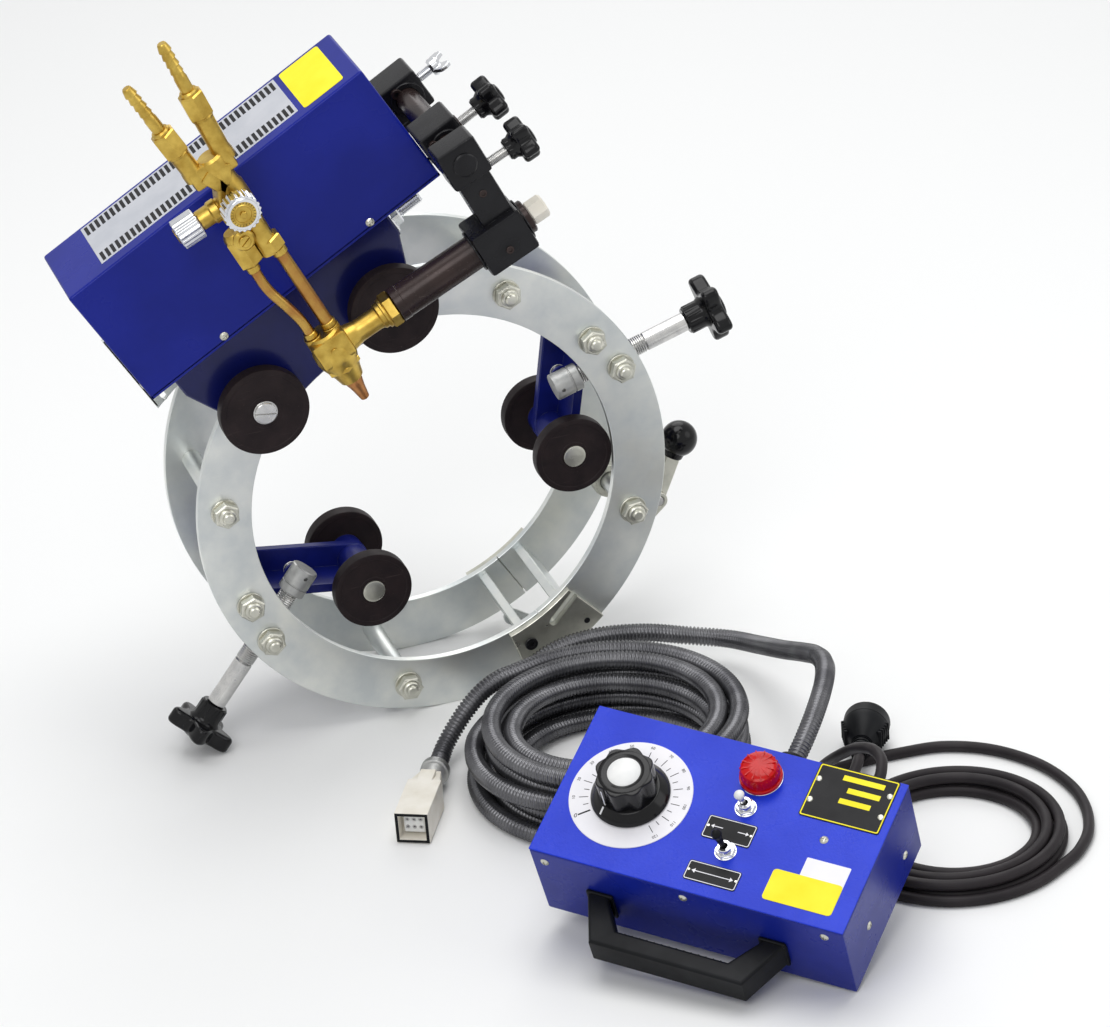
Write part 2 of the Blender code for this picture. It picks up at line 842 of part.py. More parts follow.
def make_ring():
    x, z = hinge_point()
    rear_low = ring_depth - plate_thickness
    upper_angles = (upper_bolt_angle, -arm_bolt_angle, -end_bolt_angle)
    lower_angles = (lower_bolt_angle, arm_bolt_angle, end_bolt_angle)
    bar = tie_bar()
    inside = plate_thickness + running_gap
    front_link = hinge_link(inside, plate_thickness - overrun, inside + link_thickness + overrun)
    rear_link_low = rear_low - running_gap - link_thickness
    rear_link = hinge_link(rear_link_low, rear_link_low - overrun, rear_low + overrun)
    front = upper_plate(0, plate_thickness, bolt_holes(upper_angles) + [trunnion_hole(-trunnion_bolt_angle)])
    node("front_plate_upper", [join_solids(front, [front_link])], steel, ring)
    rear = upper_plate(rear_low, ring_depth, [])
    bars = [at_ring(bar, angle) for angle in upper_angles]
    node("rear_frame_upper", [join_solids(rear, bars + [end_bar(upper_end_bar_angle), rear_link])], steel, ring)
    front = lower_plate(0, plate_thickness, bolt_holes(lower_angles) + [trunnion_hole(trunnion_bolt_angle)])
    node("front_plate_lower", [join_solids(front, hinge_stub())], steel, ring, (x, 0, z))
    rear = lower_plate(rear_low, ring_depth, [])
    bars = [at_ring(bar, angle) for angle in lower_angles]
    lug_outline = link_outline(ring_point(end_bar_circle, lower_end_bar_angle), catch_lug_width / 2,
                               ring_point(catch_circle, catch_angle), catch_lug_width / 2 - box_edge)
    lug = plate(lug_outline, lever_y - lever_thickness, lever_y - hook_thickness - hook_y_gap * 2)
    pin = at_ring(rod(catch_radius, lever_y - lever_thickness + box_edge, lever_y + overrun), catch_angle, catch_circle)
    rear_splice = splice_plate(ring_depth + running_gap, ring_depth + running_gap + splice_plate_thickness)
    screw_top = ring_depth + running_gap + splice_plate_thickness + splice_screw_height
    extras = bars + [end_bar(lower_end_bar_angle), lug, pin, rear_splice, splice_screw(rear_low + overrun, screw_top)]
    mirrored = Matrix.Translation((0, ring_depth, 0)) @ Matrix.Scale(-1, 4, (0, 1, 0))
    extras += [copied(each, mirrored) for each in hinge_stub()]
    node("rear_frame_lower", [join_solids(rear, extras)], steel, ring, (x, 0, z))
    outer = -running_gap - splice_plate_thickness
    front_splice = splice_plate(outer, -running_gap)
    screw = splice_screw(outer - splice_screw_height, outer + overrun)
    node("splice_plate", [join_solids(front_splice, [screw])], steel, ring, (x, 0, z))


# Drive unit

def cheek_outline():
    side = [(base_half_width, deck_top), (base_half_width, base_shoulder), (base_waist_half, base_waist),
            (axle_lug_half, axle_lug), (axle_toe_half, axle_toe)]
    left = [(-x, z) for x, z in side]
    bottom = ring_arc(base_arc_radius, base_arc_half_angle, -base_arc_half_angle)
    return left + bottom + side[::-1]


def make_drive_base():
    holes = [hole((side * wheel_spread / 2, axle_height), axle_radius + bolt_clearance, turned_steps) for side in (-1, 1)]
    front = plate(cheek_outline(), -running_gap - cheek_thickness, -running_gap, holes)
    rear = plate(cheek_outline(), ring_depth + running_gap, ring_depth + running_gap + cheek_thickness, holes)
    deck = block((-base_half_width + base_edge, -running_gap - cheek_thickness + base_edge, deck_top - deck_thickness),
                 (base_half_width - base_edge, ring_depth + running_gap + cheek_thickness - base_edge, deck_top - base_edge))
    window = block((-window_half_width, window_front, deck_top - deck_thickness - overrun),
                   (window_half_width, window_rear, deck_top + overrun))
    lug = block((base_half_width - socket_lug_thickness, -running_gap - overrun, socket_z - socket_lug_half),
                (base_half_width, socket_y + socket_lug_half, deck_top - deck_thickness + overrun))
    solid = cut(join_solids(front, [rear, deck, lug]), [window])
    node("drive_base", [solid], navy, ring)


def make_cover():
    work = bmesh.new()
    bmesh.ops.create_cube(work, size=1)
    low = (cover_left, cover_front, deck_top + running_gap)
    high = (cover_right, cover_rear, cover_top)
    bmesh.ops.scale(work, vec=[high[i] - low[i] for i in range(3)], verts=work.verts)
    bmesh.ops.translate(work, vec=[(high[i] + low[i]) / 2 for i in range(3)], verts=work.verts)
    bottom = [face for face in work.faces if face.normal.z < -0.5]
    bmesh.ops.delete(work, geom=bottom, context="FACES_ONLY")
    edges = [edge for edge in work.edges if len(edge.link_faces) == 2]
    bmesh.ops.bevel(work, geom=edges, offset=cover_edge, segments=2, profile=0.5, affect="EDGES", material=-1)
    mesh = bpy.data.meshes.new("cover")
    work.to_mesh(mesh)
    work.free()
    piece = temporary(mesh)
    wall = piece.modifiers.new("Wall", "SOLIDIFY")
    wall.thickness = cover_wall
    wall.offset = -1
    wall.use_even_offset = True
    node("drive_cover", [take_mesh(piece)], blue, ring)


def drive_floor():
    inset = cover_wall + floor_gap
    base = block((cover_left + inset, cover_front + inset, deck_top + running_gap),
                 (cover_right - inset, cover_rear - inset, deck_top + running_gap + floor_thickness))
    window = block((-window_half_width, window_front, deck_top - overrun),
                   (window_half_width, cover_rear, deck_top + floor_thickness + overrun))
    return cut(base, [window])


def make_bracket():
    outline = [(bracket_left, bracket_low), (-base_half_width + bracket_thickness, bracket_low + bracket_thickness * 2),
               (-base_half_width + bracket_thickness, deck_top - deck_thickness - running_gap),
               (-base_half_width - running_gap, deck_top - deck_thickness - running_gap),
               (-base_half_width - running_gap, deck_top), (bracket_left, deck_top)]
    half = bracket_slot_width / 2
    low = (bracket_slot_x, bracket_slot_z)
    top = (bracket_slot_x, bracket_slot_z + bracket_slot_length)
    slot = link_outline(low, half, top, half * 1.001)
    node("rear_bracket", [plate(outline, bracket_front, bracket_front + bracket_thickness, [slot])], steel, ring)


def wheel(radius, thickness, edge, bore, middle_y):
    # A flat roller with broken edges
    half = thickness / 2
    profile = [(bore, half), (radius - edge, half), (radius, half - edge), (radius, -half + edge),
               (radius - edge, -half), (bore, -half)]
    return moved(turned(profile, wheel_steps, ring=True), shift(0, middle_y, 0) @ along_y)


def axle_end_slot(y, direction, radius):
    return block((-radius - overrun, y - axle_slot_depth, -axle_slot_width / 2),
                 (radius + overrun, y + axle_slot_depth, axle_slot_width / 2))


def central_gear_place():
    reach = gear_module * (central_teeth + axle_teeth) / 2 + gear_backlash
    rise = math.sqrt(reach ** 2 - (wheel_spread / 2) ** 2)
    return (0, axle_height + rise)


def make_drive_axles():
    centre = central_gear_place()
    pitch = turn / central_teeth
    right_line = math.atan2(axle_height - centre[1], wheel_spread / 2)
    front_face = front_wheel_y - wheel_thickness / 2 - running_gap
    rear_face = rear_wheel_y + wheel_thickness / 2 + running_gap
    for side, name in ((-1, "left"), (1, "right")):
        x = side * wheel_spread / 2
        line = math.atan2(axle_height - centre[1], x)
        miss = (right_line - line) % pitch
        phase = line + half_turn - miss * central_teeth / axle_teeth + half_turn / axle_teeth
        toothed = gear(axle_teeth, phase)
        shaft = turned([(0, rear_face + axle_head_height), (axle_head_radius, rear_face + axle_head_height),
                        (axle_head_radius, rear_face), (axle_radius, rear_face), (axle_radius, front_face),
                        (axle_head_radius, front_face), (axle_head_radius, front_face - axle_head_height),
                        (0, front_face - axle_head_height)], nut_steps)
        moved(shaft, along_y)
        slot = axle_end_slot(front_face - axle_head_height, -1, axle_head_radius)
        half = wheel_thickness / 2
        rear_wheel = moved(rod(wheel_radius, rear_wheel_y - half, rear_wheel_y + half, wheel_steps), along_y)
        solid = cut(join_solids(toothed, [shaft, rear_wheel]), [moved(slot, spin_y(axle_slot_angle))])
        moved(solid, shift(x, 0, axle_height))
        node(f"{name}_drive_axle", [solid], bright_steel, ring, (x, 0, axle_height))
        front_wheel = wheel(wheel_radius, wheel_thickness, wheel_edge, axle_radius + running_gap, front_wheel_y)
        moved(front_wheel, shift(x, 0, axle_height))
        node(f"{name}_drive_wheel", [front_wheel], rubber, ring, (x, 0, axle_height))
    toothed = gear(central_teeth, right_line)
    shaft = rod(gear_shaft_radius, gearbox_rear + shaft_gap, gear_y + gear_width / 2 + shaft_tail)
    solid = join_solids(toothed, [moved(shaft, along_y)])
    node("central_gear", [moved(solid, shift(centre[0], 0, centre[1]))], bright_steel, ring, (centre[0], 0, centre[1]))


def make_gear_motor():
    low = block((-gearbox_half_width, gearbox_front, gearbox_low),
                (gearbox_half_width, gearbox_rear, gearbox_head_low + overrun), base_edge)
    head = block((-gearbox_head_half, gearbox_head_front, gearbox_head_low),
                 (gearbox_head_half, gearbox_rear - base_edge, gearbox_head_top), base_edge)
    motor = rod(motor_radius, 0, gearbox_head_half + motor_length, turned_steps, base_edge * 2)
    moved(motor, shift(0, motor_y, motor_z) @ along_x)
    foot_low = deck_top + floor_thickness
    foot = block((gearbox_head_half - overrun, motor_y - motor_foot_width / 2, foot_low),
                 (gearbox_head_half + motor_foot_length, motor_y + motor_foot_width / 2, motor_z - motor_radius / 2))
    node("gear_motor", [join_solids(low, [head, motor, foot, drive_floor()])], grey_metal, ring)


def make_socket():
    start = base_half_width + running_gap
    profile = [(0, socket_length), (socket_radius, socket_length), (socket_radius, socket_nut_length),
               (socket_nut_radius, socket_nut_length), (socket_nut_radius, 0), (0, 0)]
    body = turned(profile, nut_steps)
    solid = cut(body, [rod(socket_radius * 0.7, socket_nut_length, socket_length + overrun, bar_steps)])
    node("motor_socket", [moved(solid, shift(start, socket_y, socket_z) @ along_x)], chrome, ring)


# Roller arms

def arm_layout(side):
    # The named places of one arm in the ring's frame, with side -1 for the left arm
    pivot = ring_point(bolt_circle, -side * arm_bolt_angle)
    lean = right_arm_angle if side > 0 else left_arm_angle
    along = (-side * math.sin(lean), -math.cos(lean))
    across = (-side * math.cos(lean), math.sin(lean))
    roller = (pivot[0] + along[0] * arm_length, pivot[1] + along[1] * arm_length)
    collar = (pivot[0] + along[0] * collar_reach + across[0] * collar_offset,
              pivot[1] + along[1] * collar_reach + across[1] * collar_offset)
    trunnion = ring_point(trunnion_circle, -side * trunnion_bolt_angle)
    heading = math.atan2(trunnion[1] - collar[1], trunnion[0] - collar[0])
    return pivot, roller, collar, trunnion, heading


def make_arm(side, name):
    pivot, roller, collar, trunnion, heading = arm_layout(side)
    outline = link_outline(pivot, pivot_boss_radius, roller, roller_boss_radius)
    ear = circle(collar, collar_ear_radius, nut_steps)
    front = plate(outline, arm_cheek_front, arm_cheek_front + arm_cheek)
    front_ear = plate(ear, arm_cheek_front + box_edge / 4, arm_cheek_front + arm_cheek - box_edge / 4)
    rear = plate(outline, arm_cheek_rear, arm_cheek_rear + arm_cheek)
    pivot_boss = moved(rod(pivot_boss_radius - box_edge / 2, pivot_boss_front, pivot_boss_rear, turned_steps),
                       shift(pivot[0], 0, pivot[1]) @ along_y)
    roller_boss = moved(rod(roller_boss_radius - box_edge / 2, roller_boss_front, roller_boss_rear, turned_steps),
                        shift(roller[0], 0, roller[1]) @ along_y)
    web = block((0, arm_cheek_front + overrun, -arm_web / 2), (arm_length, arm_cheek_rear + overrun, arm_web / 2))
    direction = math.atan2(roller[1] - pivot[1], roller[0] - pivot[0])
    moved(web, shift(pivot[0], 0, pivot[1]) @ spin_y(-direction) @ shift(0, 0, side * arm_web_shift))
    solid = join_solids(front, [front_ear, rear, pivot_boss, roller_boss, web])
    pin_way = plate(circle(collar, collar_pin_hole, nut_steps), arm_cheek_front - overrun,
                    arm_cheek_front + arm_cheek + overrun * 2)
    pivot_way = moved(bore(bar_radius + running_gap, pivot_boss_front, pivot_boss_rear),
                      shift(pivot[0], 0, pivot[1]) @ along_y)
    roller_way = moved(bore(roller_axle_radius + running_gap, roller_boss_front, roller_boss_rear),
                       shift(roller[0], 0, roller[1]) @ along_y)
    solid = cut(solid, [pin_way, pivot_way, roller_way])
    node(f"{name}_arm", [solid], blue, ring, (pivot[0], 0, pivot[1]))
    front_face = front_roller_y - roller_thickness / 2 + roller_edge
    rear_face = rear_roller_y + roller_thickness / 2 - roller_edge
    rear_head = rear_face + roller_axle_head_height + roller_edge
    axle = turned([(0, rear_head), (roller_axle_head, rear_head),
                   (roller_axle_head, rear_face), (roller_axle_radius, rear_face), (roller_axle_radius, front_face),
                   (roller_axle_head, front_face), (roller_axle_head, front_face - roller_axle_head_height - roller_edge),
                   (0, front_face - roller_axle_head_height - roller_edge)], bar_steps)
    # The two rollers are pressed on one axle
    wheels = [wheel(roller_radius, roller_thickness, roller_edge, roller_axle_radius - overrun, y)
              for y in (front_roller_y, rear_roller_y)]
    pair = join_solids(moved(axle, along_y), wheels)
    node(f"{name}_rollers", [moved(pair, shift(roller[0], 0, roller[1]))], rubber, ring, (roller[0], 0, roller[1]))


def make_spindle(side, name):
    pivot, roller, collar, trunnion, heading = arm_layout(side)
    spindle_length = right_spindle_length if side > 0 else left_spindle_length
    frame = shift(collar[0], spindle_y, collar[1]) @ spin_y(-heading)
    outward = frame @ along_x
    body = rod(trunnion_radius, plate_thickness + running_gap * 2, trunnion_rear, turned_steps)
    stub = rod(bolt_radius, -running_gap - overrun / 2, plate_thickness + overrun, bar_steps)
    front = copied(nuts, shift(0, 0, -running_gap) @ Matrix.Rotation(half_turn, 4, "X"))
    solid = moved(join_solids(body, [stub, front]), shift(trunnion[0], 0, trunnion[1]) @ along_y)
    way = moved(bore(spindle_radius + running_gap, 0, spindle_length), outward)
    node(f"{name}_trunnion", [cut(solid, [way])], bright_steel, ring, (trunnion[0], 0, trunnion[1]))
    half = collar_length / 2
    shell = rod(collar_radius, -half, half, turned_steps, box_edge)
    moved(shell, outward)
    pin = moved(rod(collar_pin_radius, spindle_y, arm_cheek_front + arm_cheek, bar_steps), shift(collar[0], 0, collar[1]) @ along_y)
    socket = moved(bore(spindle_radius + running_gap, spindle_start - running_gap + overrun, half), outward)
    node(f"{name}_thrust_collar", [cut(join_solids(shell, [pin]), [socket])], bright_steel, ring,
         (collar[0], spindle_y, collar[1]))
    shaft = moved(rod(spindle_radius, spindle_start, spindle_length, nut_steps, box_edge), outward)
    node(f"{name}_spindle", [shaft], bright_steel, ring, (collar[0], spindle_y, collar[1]))
    grip = star_knob(star_radius, star_lobe, star_lobes, star_thickness, knob_hub_radius, knob_hub_length,
                     star_boss_radius, star_boss_height)
    moved(grip, outward @ shift(0, 0, spindle_length + running_gap))
    node(f"{name}_star_knob", [grip], black, ring, (collar[0], spindle_y, collar[1]))


# Latch

def make_latch():
    pivot = ring_point(bolt_circle, -end_bolt_angle)
    elbow = ring_point(lever_elbow_circle, lever_elbow_angle)
    ball = ring_point(ball_circle, ball_angle)
    low = lever_y
    high = lever_y + lever_thickness
    arm_plate = plate(link_outline(pivot, lever_hub_radius, elbow, lever_elbow_radius), low, high)
    tail = plate(link_outline(elbow, lever_elbow_radius - box_edge / 2, ball, lever_tip_radius), low + box_edge / 4,
                 high - box_edge / 4)
    pin = plate(circle(elbow, hook_pin_radius, nut_steps), low - hook_y_gap - hook_thickness, low + overrun)
    way = plate(hole(pivot, bar_radius + running_gap), low - overrun, high + overrun)
    solid = cut(join_solids(arm_plate, [tail, pin]), [way])
    middle = (low + high) / 2
    sphere = bmesh.new()
    bmesh.ops.create_uvsphere(sphere, u_segments=12, v_segments=7, radius=ball_radius)
    bmesh.ops.translate(sphere, vec=(ball[0], middle, ball[1]), verts=sphere.verts)
    knob = bpy.data.meshes.new("ball")
    sphere.to_mesh(knob)
    sphere.free()
    stem = plate(link_outline(elbow, lever_elbow_radius, ball, lever_tip_radius + running_gap), low - running_gap,
                 high + running_gap)
    node("latch_lever", [solid], bright_steel, ring, (pivot[0], 0, pivot[1]))
    node("latch_ball", [cut(knob, [stem])], black, ring, (pivot[0], 0, pivot[1]))
    # The hook runs from the lever's pin to the catch pin, lifted just clear of it
    catch = ring_point(catch_circle + hook_lift, catch_angle)
    hook_low = lever_y - hook_y_gap - hook_thickness
    hook_high = lever_y - hook_y_gap
    rod_plate = plate(link_outline(elbow, hook_eye_radius, catch, hook_nose_radius), hook_low, hook_high)
    eye = plate(hole(elbow, hook_pin_radius + running_gap, nut_steps), hook_low - overrun, hook_high + overrun)
    inward = ring_point(catch_circle - hook_nose_radius, catch_angle)
    bite_radius = catch_radius + hook_bite_clearance
    bite = plate(link_outline(catch, bite_radius, inward, bite_radius * 1.001), hook_low - overrun, hook_high + overrun)
    node("latch_hook", [cut(rod_plate, [eye, bite])], steel, ring, (elbow[0], 0, elbow[1]))


# Torch holder

def make_holder():
    foot_high = bar_axis_z - holder_half + overrun
    body = block((bar_axis_x - holder_half, holder_front, bar_axis_z - holder_half),
                 (bar_axis_x + holder_half, holder_rear, bar_axis_z + holder_half), holder_edge)
    low = deck_top + running_gap
    foot = block((holder_foot_inner, cover_rear + running_gap * 2, low),
                 (bar_axis_x, holder_rear - holder_edge, low + holder_foot_thickness), box_edge)
    way = moved(bore(cross_bar_radius + running_gap, holder_front, holder_rear, turned_steps),
                shift(bar_axis_x, 0, bar_axis_z) @ along_y)
    node("holder_bracket", [cut(join_solids(body, [foot]), [way])], black_metal, ring)
    dome = cross_bar_radius * 0.4
    bar = turned([(0, cross_bar_rear + dome), (cross_bar_radius * 0.5, cross_bar_rear + dome * 0.86),
                  (cross_bar_radius * 0.87, cross_bar_rear + dome * 0.5), (cross_bar_radius, cross_bar_rear),
                  (cross_bar_radius, cross_bar_front), (0, cross_bar_front)], turned_steps)
    place = (bar_axis_x, 0, bar_axis_z)
    node("cross_bar", [moved(bar, shift(*place) @ along_y)], dark_metal, ring, place)
    stud = turned([(0, wing_stud_length + wing_radius), (wing_radius * 0.8, wing_stud_length + wing_radius),
                   (wing_radius * 0.8, wing_stud_length), (clamp_stud_radius, wing_stud_length),
                   (clamp_stud_radius, 0), (0, 0)], 12)
    wings = block((-wing_thickness / 2, -wing_span, wing_stud_length + box_edge),
                  (wing_thickness / 2, wing_span, wing_stud_length + wing_span), box_edge)
    middle_y = (holder_front + holder_rear) / 2
    start = bar_axis_x + holder_half + running_gap
    wing_place = (start, middle_y, bar_axis_z)
    node("wing_screw", [moved(join_solids(stud, [wings]), shift(*wing_place) @ along_x)], chrome, ring, wing_place)
    clamp = block((bar_axis_x - angle_clamp_half, angle_clamp_front, bar_axis_z - angle_clamp_half),
                  (bar_axis_x + angle_clamp_half, angle_clamp_rear, bar_axis_z + angle_clamp_half), holder_edge)
    way = moved(bore(cross_bar_radius + running_gap, angle_clamp_front, angle_clamp_rear, turned_steps),
                shift(*place) @ along_y)
    node("angle_clamp", [cut(clamp, [way])], black_metal, ring, place)


def small_knob():
    grip = star_knob(small_star_radius, star_lobe * 0.7, star_lobes, small_star_thickness, knob_hub_radius * 0.75,
                     knob_hub_length * 0.5, star_boss_radius * 0.7, star_boss_height * 0.6)
    stud = rod(clamp_stud_radius, -clamp_stud_length, overrun, 12)
    return join_solids(grip, [stud])


def make_swivel():
    top = block((-swivel_half, swivel_front - swivel_y, -swivel_half), (swivel_half, swivel_rear - swivel_y, swivel_half),
                holder_edge)
    stem = block((-swivel_half * 0.8, swivel_front - swivel_y + overrun, -torch_bar_drop),
                 (swivel_half * 0.8, swivel_rear - swivel_y - overrun, 0), holder_edge)
    jaw = block((bar_clamp_left, -bar_clamp_half, -torch_bar_drop - bar_clamp_half),
                (bar_clamp_right, bar_clamp_half, -torch_bar_drop + bar_clamp_half), holder_edge)
    cross_way = moved(bore(cross_bar_radius + running_gap, cross_bar_front - swivel_y - running_gap + overrun,
                           swivel_rear - swivel_y, turned_steps), along_y)
    bar_way = moved(bore(torch_bar_radius + running_gap, bar_clamp_left, bar_clamp_right, turned_steps),
                    shift(0, 0, -torch_bar_drop) @ along_x)
    solid = cut(join_solids(top, [stem, jaw]), [cross_way, bar_way])
    node("swivel_clamp", [solid], black_metal, swivel)
    bar = rod(torch_bar_radius, torch_bar_left, torch_bar_right, turned_steps, box_edge)
    nut = hexagon(cream_nut_flats, torch_bar_right - overrun, torch_bar_right + cream_nut_length, box_edge)
    solid = moved(join_solids(bar, [nut]), shift(0, 0, -torch_bar_drop) @ along_x)
    node("torch_bar", [solid], dark_metal, swivel, (0, 0, -torch_bar_drop))
    grip = small_knob()
    place = (swivel_half + running_gap + clamp_stud_length, 0, -swivel_half)
    node("swivel_knob", [copied(grip, shift(*place) @ along_x)], black, swivel, place)
    place = (bar_axis_x + angle_clamp_half + running_gap + clamp_stud_length, (angle_clamp_front + angle_clamp_rear) / 2,
             bar_axis_z)
    node("angle_knob", [copied(grip, shift(*place) @ along_x)], black, ring, place)


# Torch

def fluted(radius, length):
    return plate(wavy_outline(radius, valve_flute_depth * 2, valve_flutes, 4), 0, length)


def make_torch():
    here = shift(torch_x, 0, 0)
    head = turned([(0, head_top), (head_radius * 0.9, head_top), (head_radius, head_top - box_edge * 2),
                   (head_radius, head_shoulder), (head_neck_radius * 1.25, head_low + box_edge * 4),
                   (head_neck_radius, head_low), (0, head_low)], turned_steps)
    side = rod(side_tube_radius, 0, torch_bar_left - torch_x - flange_thickness / 2)
    moved(side, shift(0, 0, -torch_bar_drop) @ along_x)
    flange_end = torch_bar_left - torch_x - running_gap
    flange = hexagon(flange_flats, flange_end - flange_thickness, flange_end, box_edge)
    moved(flange, shift(0, 0, -torch_bar_drop) @ along_x)
    node("torch_head", [moved(join_solids(head, [side, flange]), here)], brass, swivel, (torch_x, 0, -torch_bar_drop))
    nozzle = turned([(0, head_low - running_gap), (nozzle_radius, head_low - running_gap),
                     (nozzle_radius, head_low - running_gap * 8), (nozzle_tip_radius, nozzle_tip), (0, nozzle_tip)], nut_steps)
    node("torch_nozzle", [moved(nozzle, here)], copper, swivel, (torch_x, 0, -torch_bar_drop))
    low = head_top + running_gap
    high = body_low - running_gap
    rise = high - low
    right = [(pipe_spread, 0, low), (pipe_spread, 0, low + rise * 0.5), (pipe_spread, 0, high)]
    bend = [(-pipe_spread, 0, low), (-pipe_spread, 0, low + rise * 0.2), (-pipe_spread - pipe_bow * 0.4, 0, low + rise * 0.42),
            (-pipe_spread - pipe_bow, 0, low + rise * 0.7), (-pipe_spread - pipe_bow, 0, high)]
    node("straight_pipe", [moved(tube(right, pipe_radius, 2), here)], copper, swivel, (torch_x, 0, 0))
    node("bent_pipe", [moved(tube(bend, thin_pipe_radius, 2), here)], copper, swivel, (torch_x, 0, 0))
    core = turned([(0, body_top), (body_radius * 0.85, body_top), (body_radius, body_top - box_edge * 4),
                   (body_radius, valve_z - valve_seat_radius * 2), (body_radius * 0.75, body_low + body_radius * 2),
                   (body_radius * 0.75, body_low), (0, body_low)], turned_steps)
    moved(core, shift(pipe_spread * 0.4, 0, 0))
    union_nut = hexagon(union_radius * 2, body_low, body_low + union_radius * 3)
    moved(union_nut, shift(-pipe_spread - pipe_bow * 0.8, 0, 0))
    seat = moved(rod(valve_seat_radius, 0, body_radius + valve_seat_length), shift(0, 0, valve_z) @ against_y)
    stub = moved(rod(valve_seat_radius * 0.9, 0, side_valve_reach),
                 shift(0, 0, valve_z) @ Matrix.Rotation(-quarter_turn, 4, "Y"))
    extras = [union_nut, seat, stub]
    for side_sign, height in ((-1, left_tail_rise), (1, right_tail_rise)):
        foot = body_top - body_radius
        hexed = hexagon(tail_hex_flats, 0, tail_hex_length + height + body_radius)
        nipple = turned([(0, tail_length), (tail_radius * 0.8, tail_length), (tail_radius, tail_length * 0.85),
                         (tail_radius, -overrun), (0, -overrun)], bar_steps)
        lean = Matrix.Rotation(side_sign * tail_lean, 4, "Y")
        start = shift(side_sign * tail_spread, 0, foot)
        extras.append(moved(hexed, start @ lean))
        extras.append(moved(nipple, start @ lean @ shift(0, 0, tail_hex_length + height + body_radius)))
    bridge = block((-tail_spread - body_radius / 2, -body_radius * 0.7, body_top - body_radius * 1.6),
                   (tail_spread + body_radius / 2, body_radius * 0.7, body_top - box_edge), box_edge)
    node("torch_body", [moved(join_solids(core, [bridge] + extras), here)], brass, swivel, (torch_x, 0, valve_z))
    knob = moved(fluted(front_valve_radius, front_valve_length),
                 shift(torch_x, -body_radius - valve_seat_length - running_gap - front_valve_length, valve_z))
    node("front_valve_knob", [knob], chrome, swivel,
         (torch_x, -body_radius - valve_seat_length - running_gap, valve_z))
    knob = fluted(side_valve_radius, side_valve_length)
    moved(knob, shift(torch_x - side_valve_reach - running_gap, 0, valve_z) @ Matrix.Rotation(quarter_turn, 4, "Z"))
    node("side_valve_knob", [knob], chrome, swivel, (torch_x - side_valve_reach - running_gap, 0, valve_z))


# Control box

def open_tray(low, high, open_up, wall_thickness, bevel):
    work = bmesh.new()
    bmesh.ops.create_cube(work, size=1)
    bmesh.ops.scale(work, vec=[high[i] - low[i] for i in range(3)], verts=work.verts)
    bmesh.ops.translate(work, vec=[(high[i] + low[i]) / 2 for i in range(3)], verts=work.verts)
    lid = [face for face in work.faces if face.normal.z * open_up > 0.5]
    bmesh.ops.delete(work, geom=lid, context="FACES_ONLY")
    edges = [edge for edge in work.edges if len(edge.link_faces) == 2]
    bmesh.ops.bevel(work, geom=edges, offset=bevel, segments=1, profile=0.5, affect="EDGES", material=-1)
    mesh = bpy.data.meshes.new("tray")
    work.to_mesh(mesh)
    work.free()
    piece = temporary(mesh)
    solidify = piece.modifiers.new("Wall", "SOLIDIFY")
    solidify.thickness = wall_thickness
    solidify.offset = -1
    solidify.use_even_offset = True
    return take_mesh(piece)


def make_control_box():
    top = box_height - sheet - running_gap
    tray = open_tray((0, 0, 0), (box_length, box_width, top), 1, sheet, box_edge)
    housing = join_solids(tray, box_glands())
    node("control_housing", [housing], blue, control)
    inset = sheet + running_gap
    lid = block((0, 0, box_height - sheet), (box_length, box_width, box_height))
    lip = open_tray((inset, inset, box_height - panel_lip), (box_length - inset, box_width - inset, box_height - sheet / 2),
                    -1, sheet, box_edge)
    holes = [moved(bore(toggle_bore, box_height - sheet * 2, box_height + toggle_bush_height, 12),
                   shift(toggle_x, y, 0)) for y in (power_toggle_y, direction_toggle_y)]
    node("control_panel", [cut(join_solids(lid, [lip] + toggle_bushes()), holes)], blue, control)


def make_speed_knob():
    lifted = box_height + knob_lift
    skirt = plate(wavy_outline(knob_skirt_radius, knob_wave * 2, knob_waves, 4), -knob_skirt_height, 0)
    moved(skirt, Matrix.Rotation(-quarter_turn, 4, "X"))
    core = plate(wavy_outline(knob_body_radius, knob_wave * 2, knob_waves, 4), -knob_body_height, 0)
    moved(core, Matrix.Rotation(-quarter_turn, 4, "X"))
    for each in (skirt, core):
        base = min(v.co.z for v in each.vertices)
        moved(each, shift(0, 0, -base))
    cap = rod(knob_cap_radius, knob_body_height - overrun, knob_body_height + knob_cap_height, turned_steps)
    shaft = rod(toggle_bush_radius / 2, -knob_lift + running_gap, overrun, 12)
    solid = moved(join_solids(skirt, [core, cap, shaft]), shift(dial_x, dial_y, lifted))
    node("speed_knob", [solid], black, control, (dial_x, dial_y, lifted))


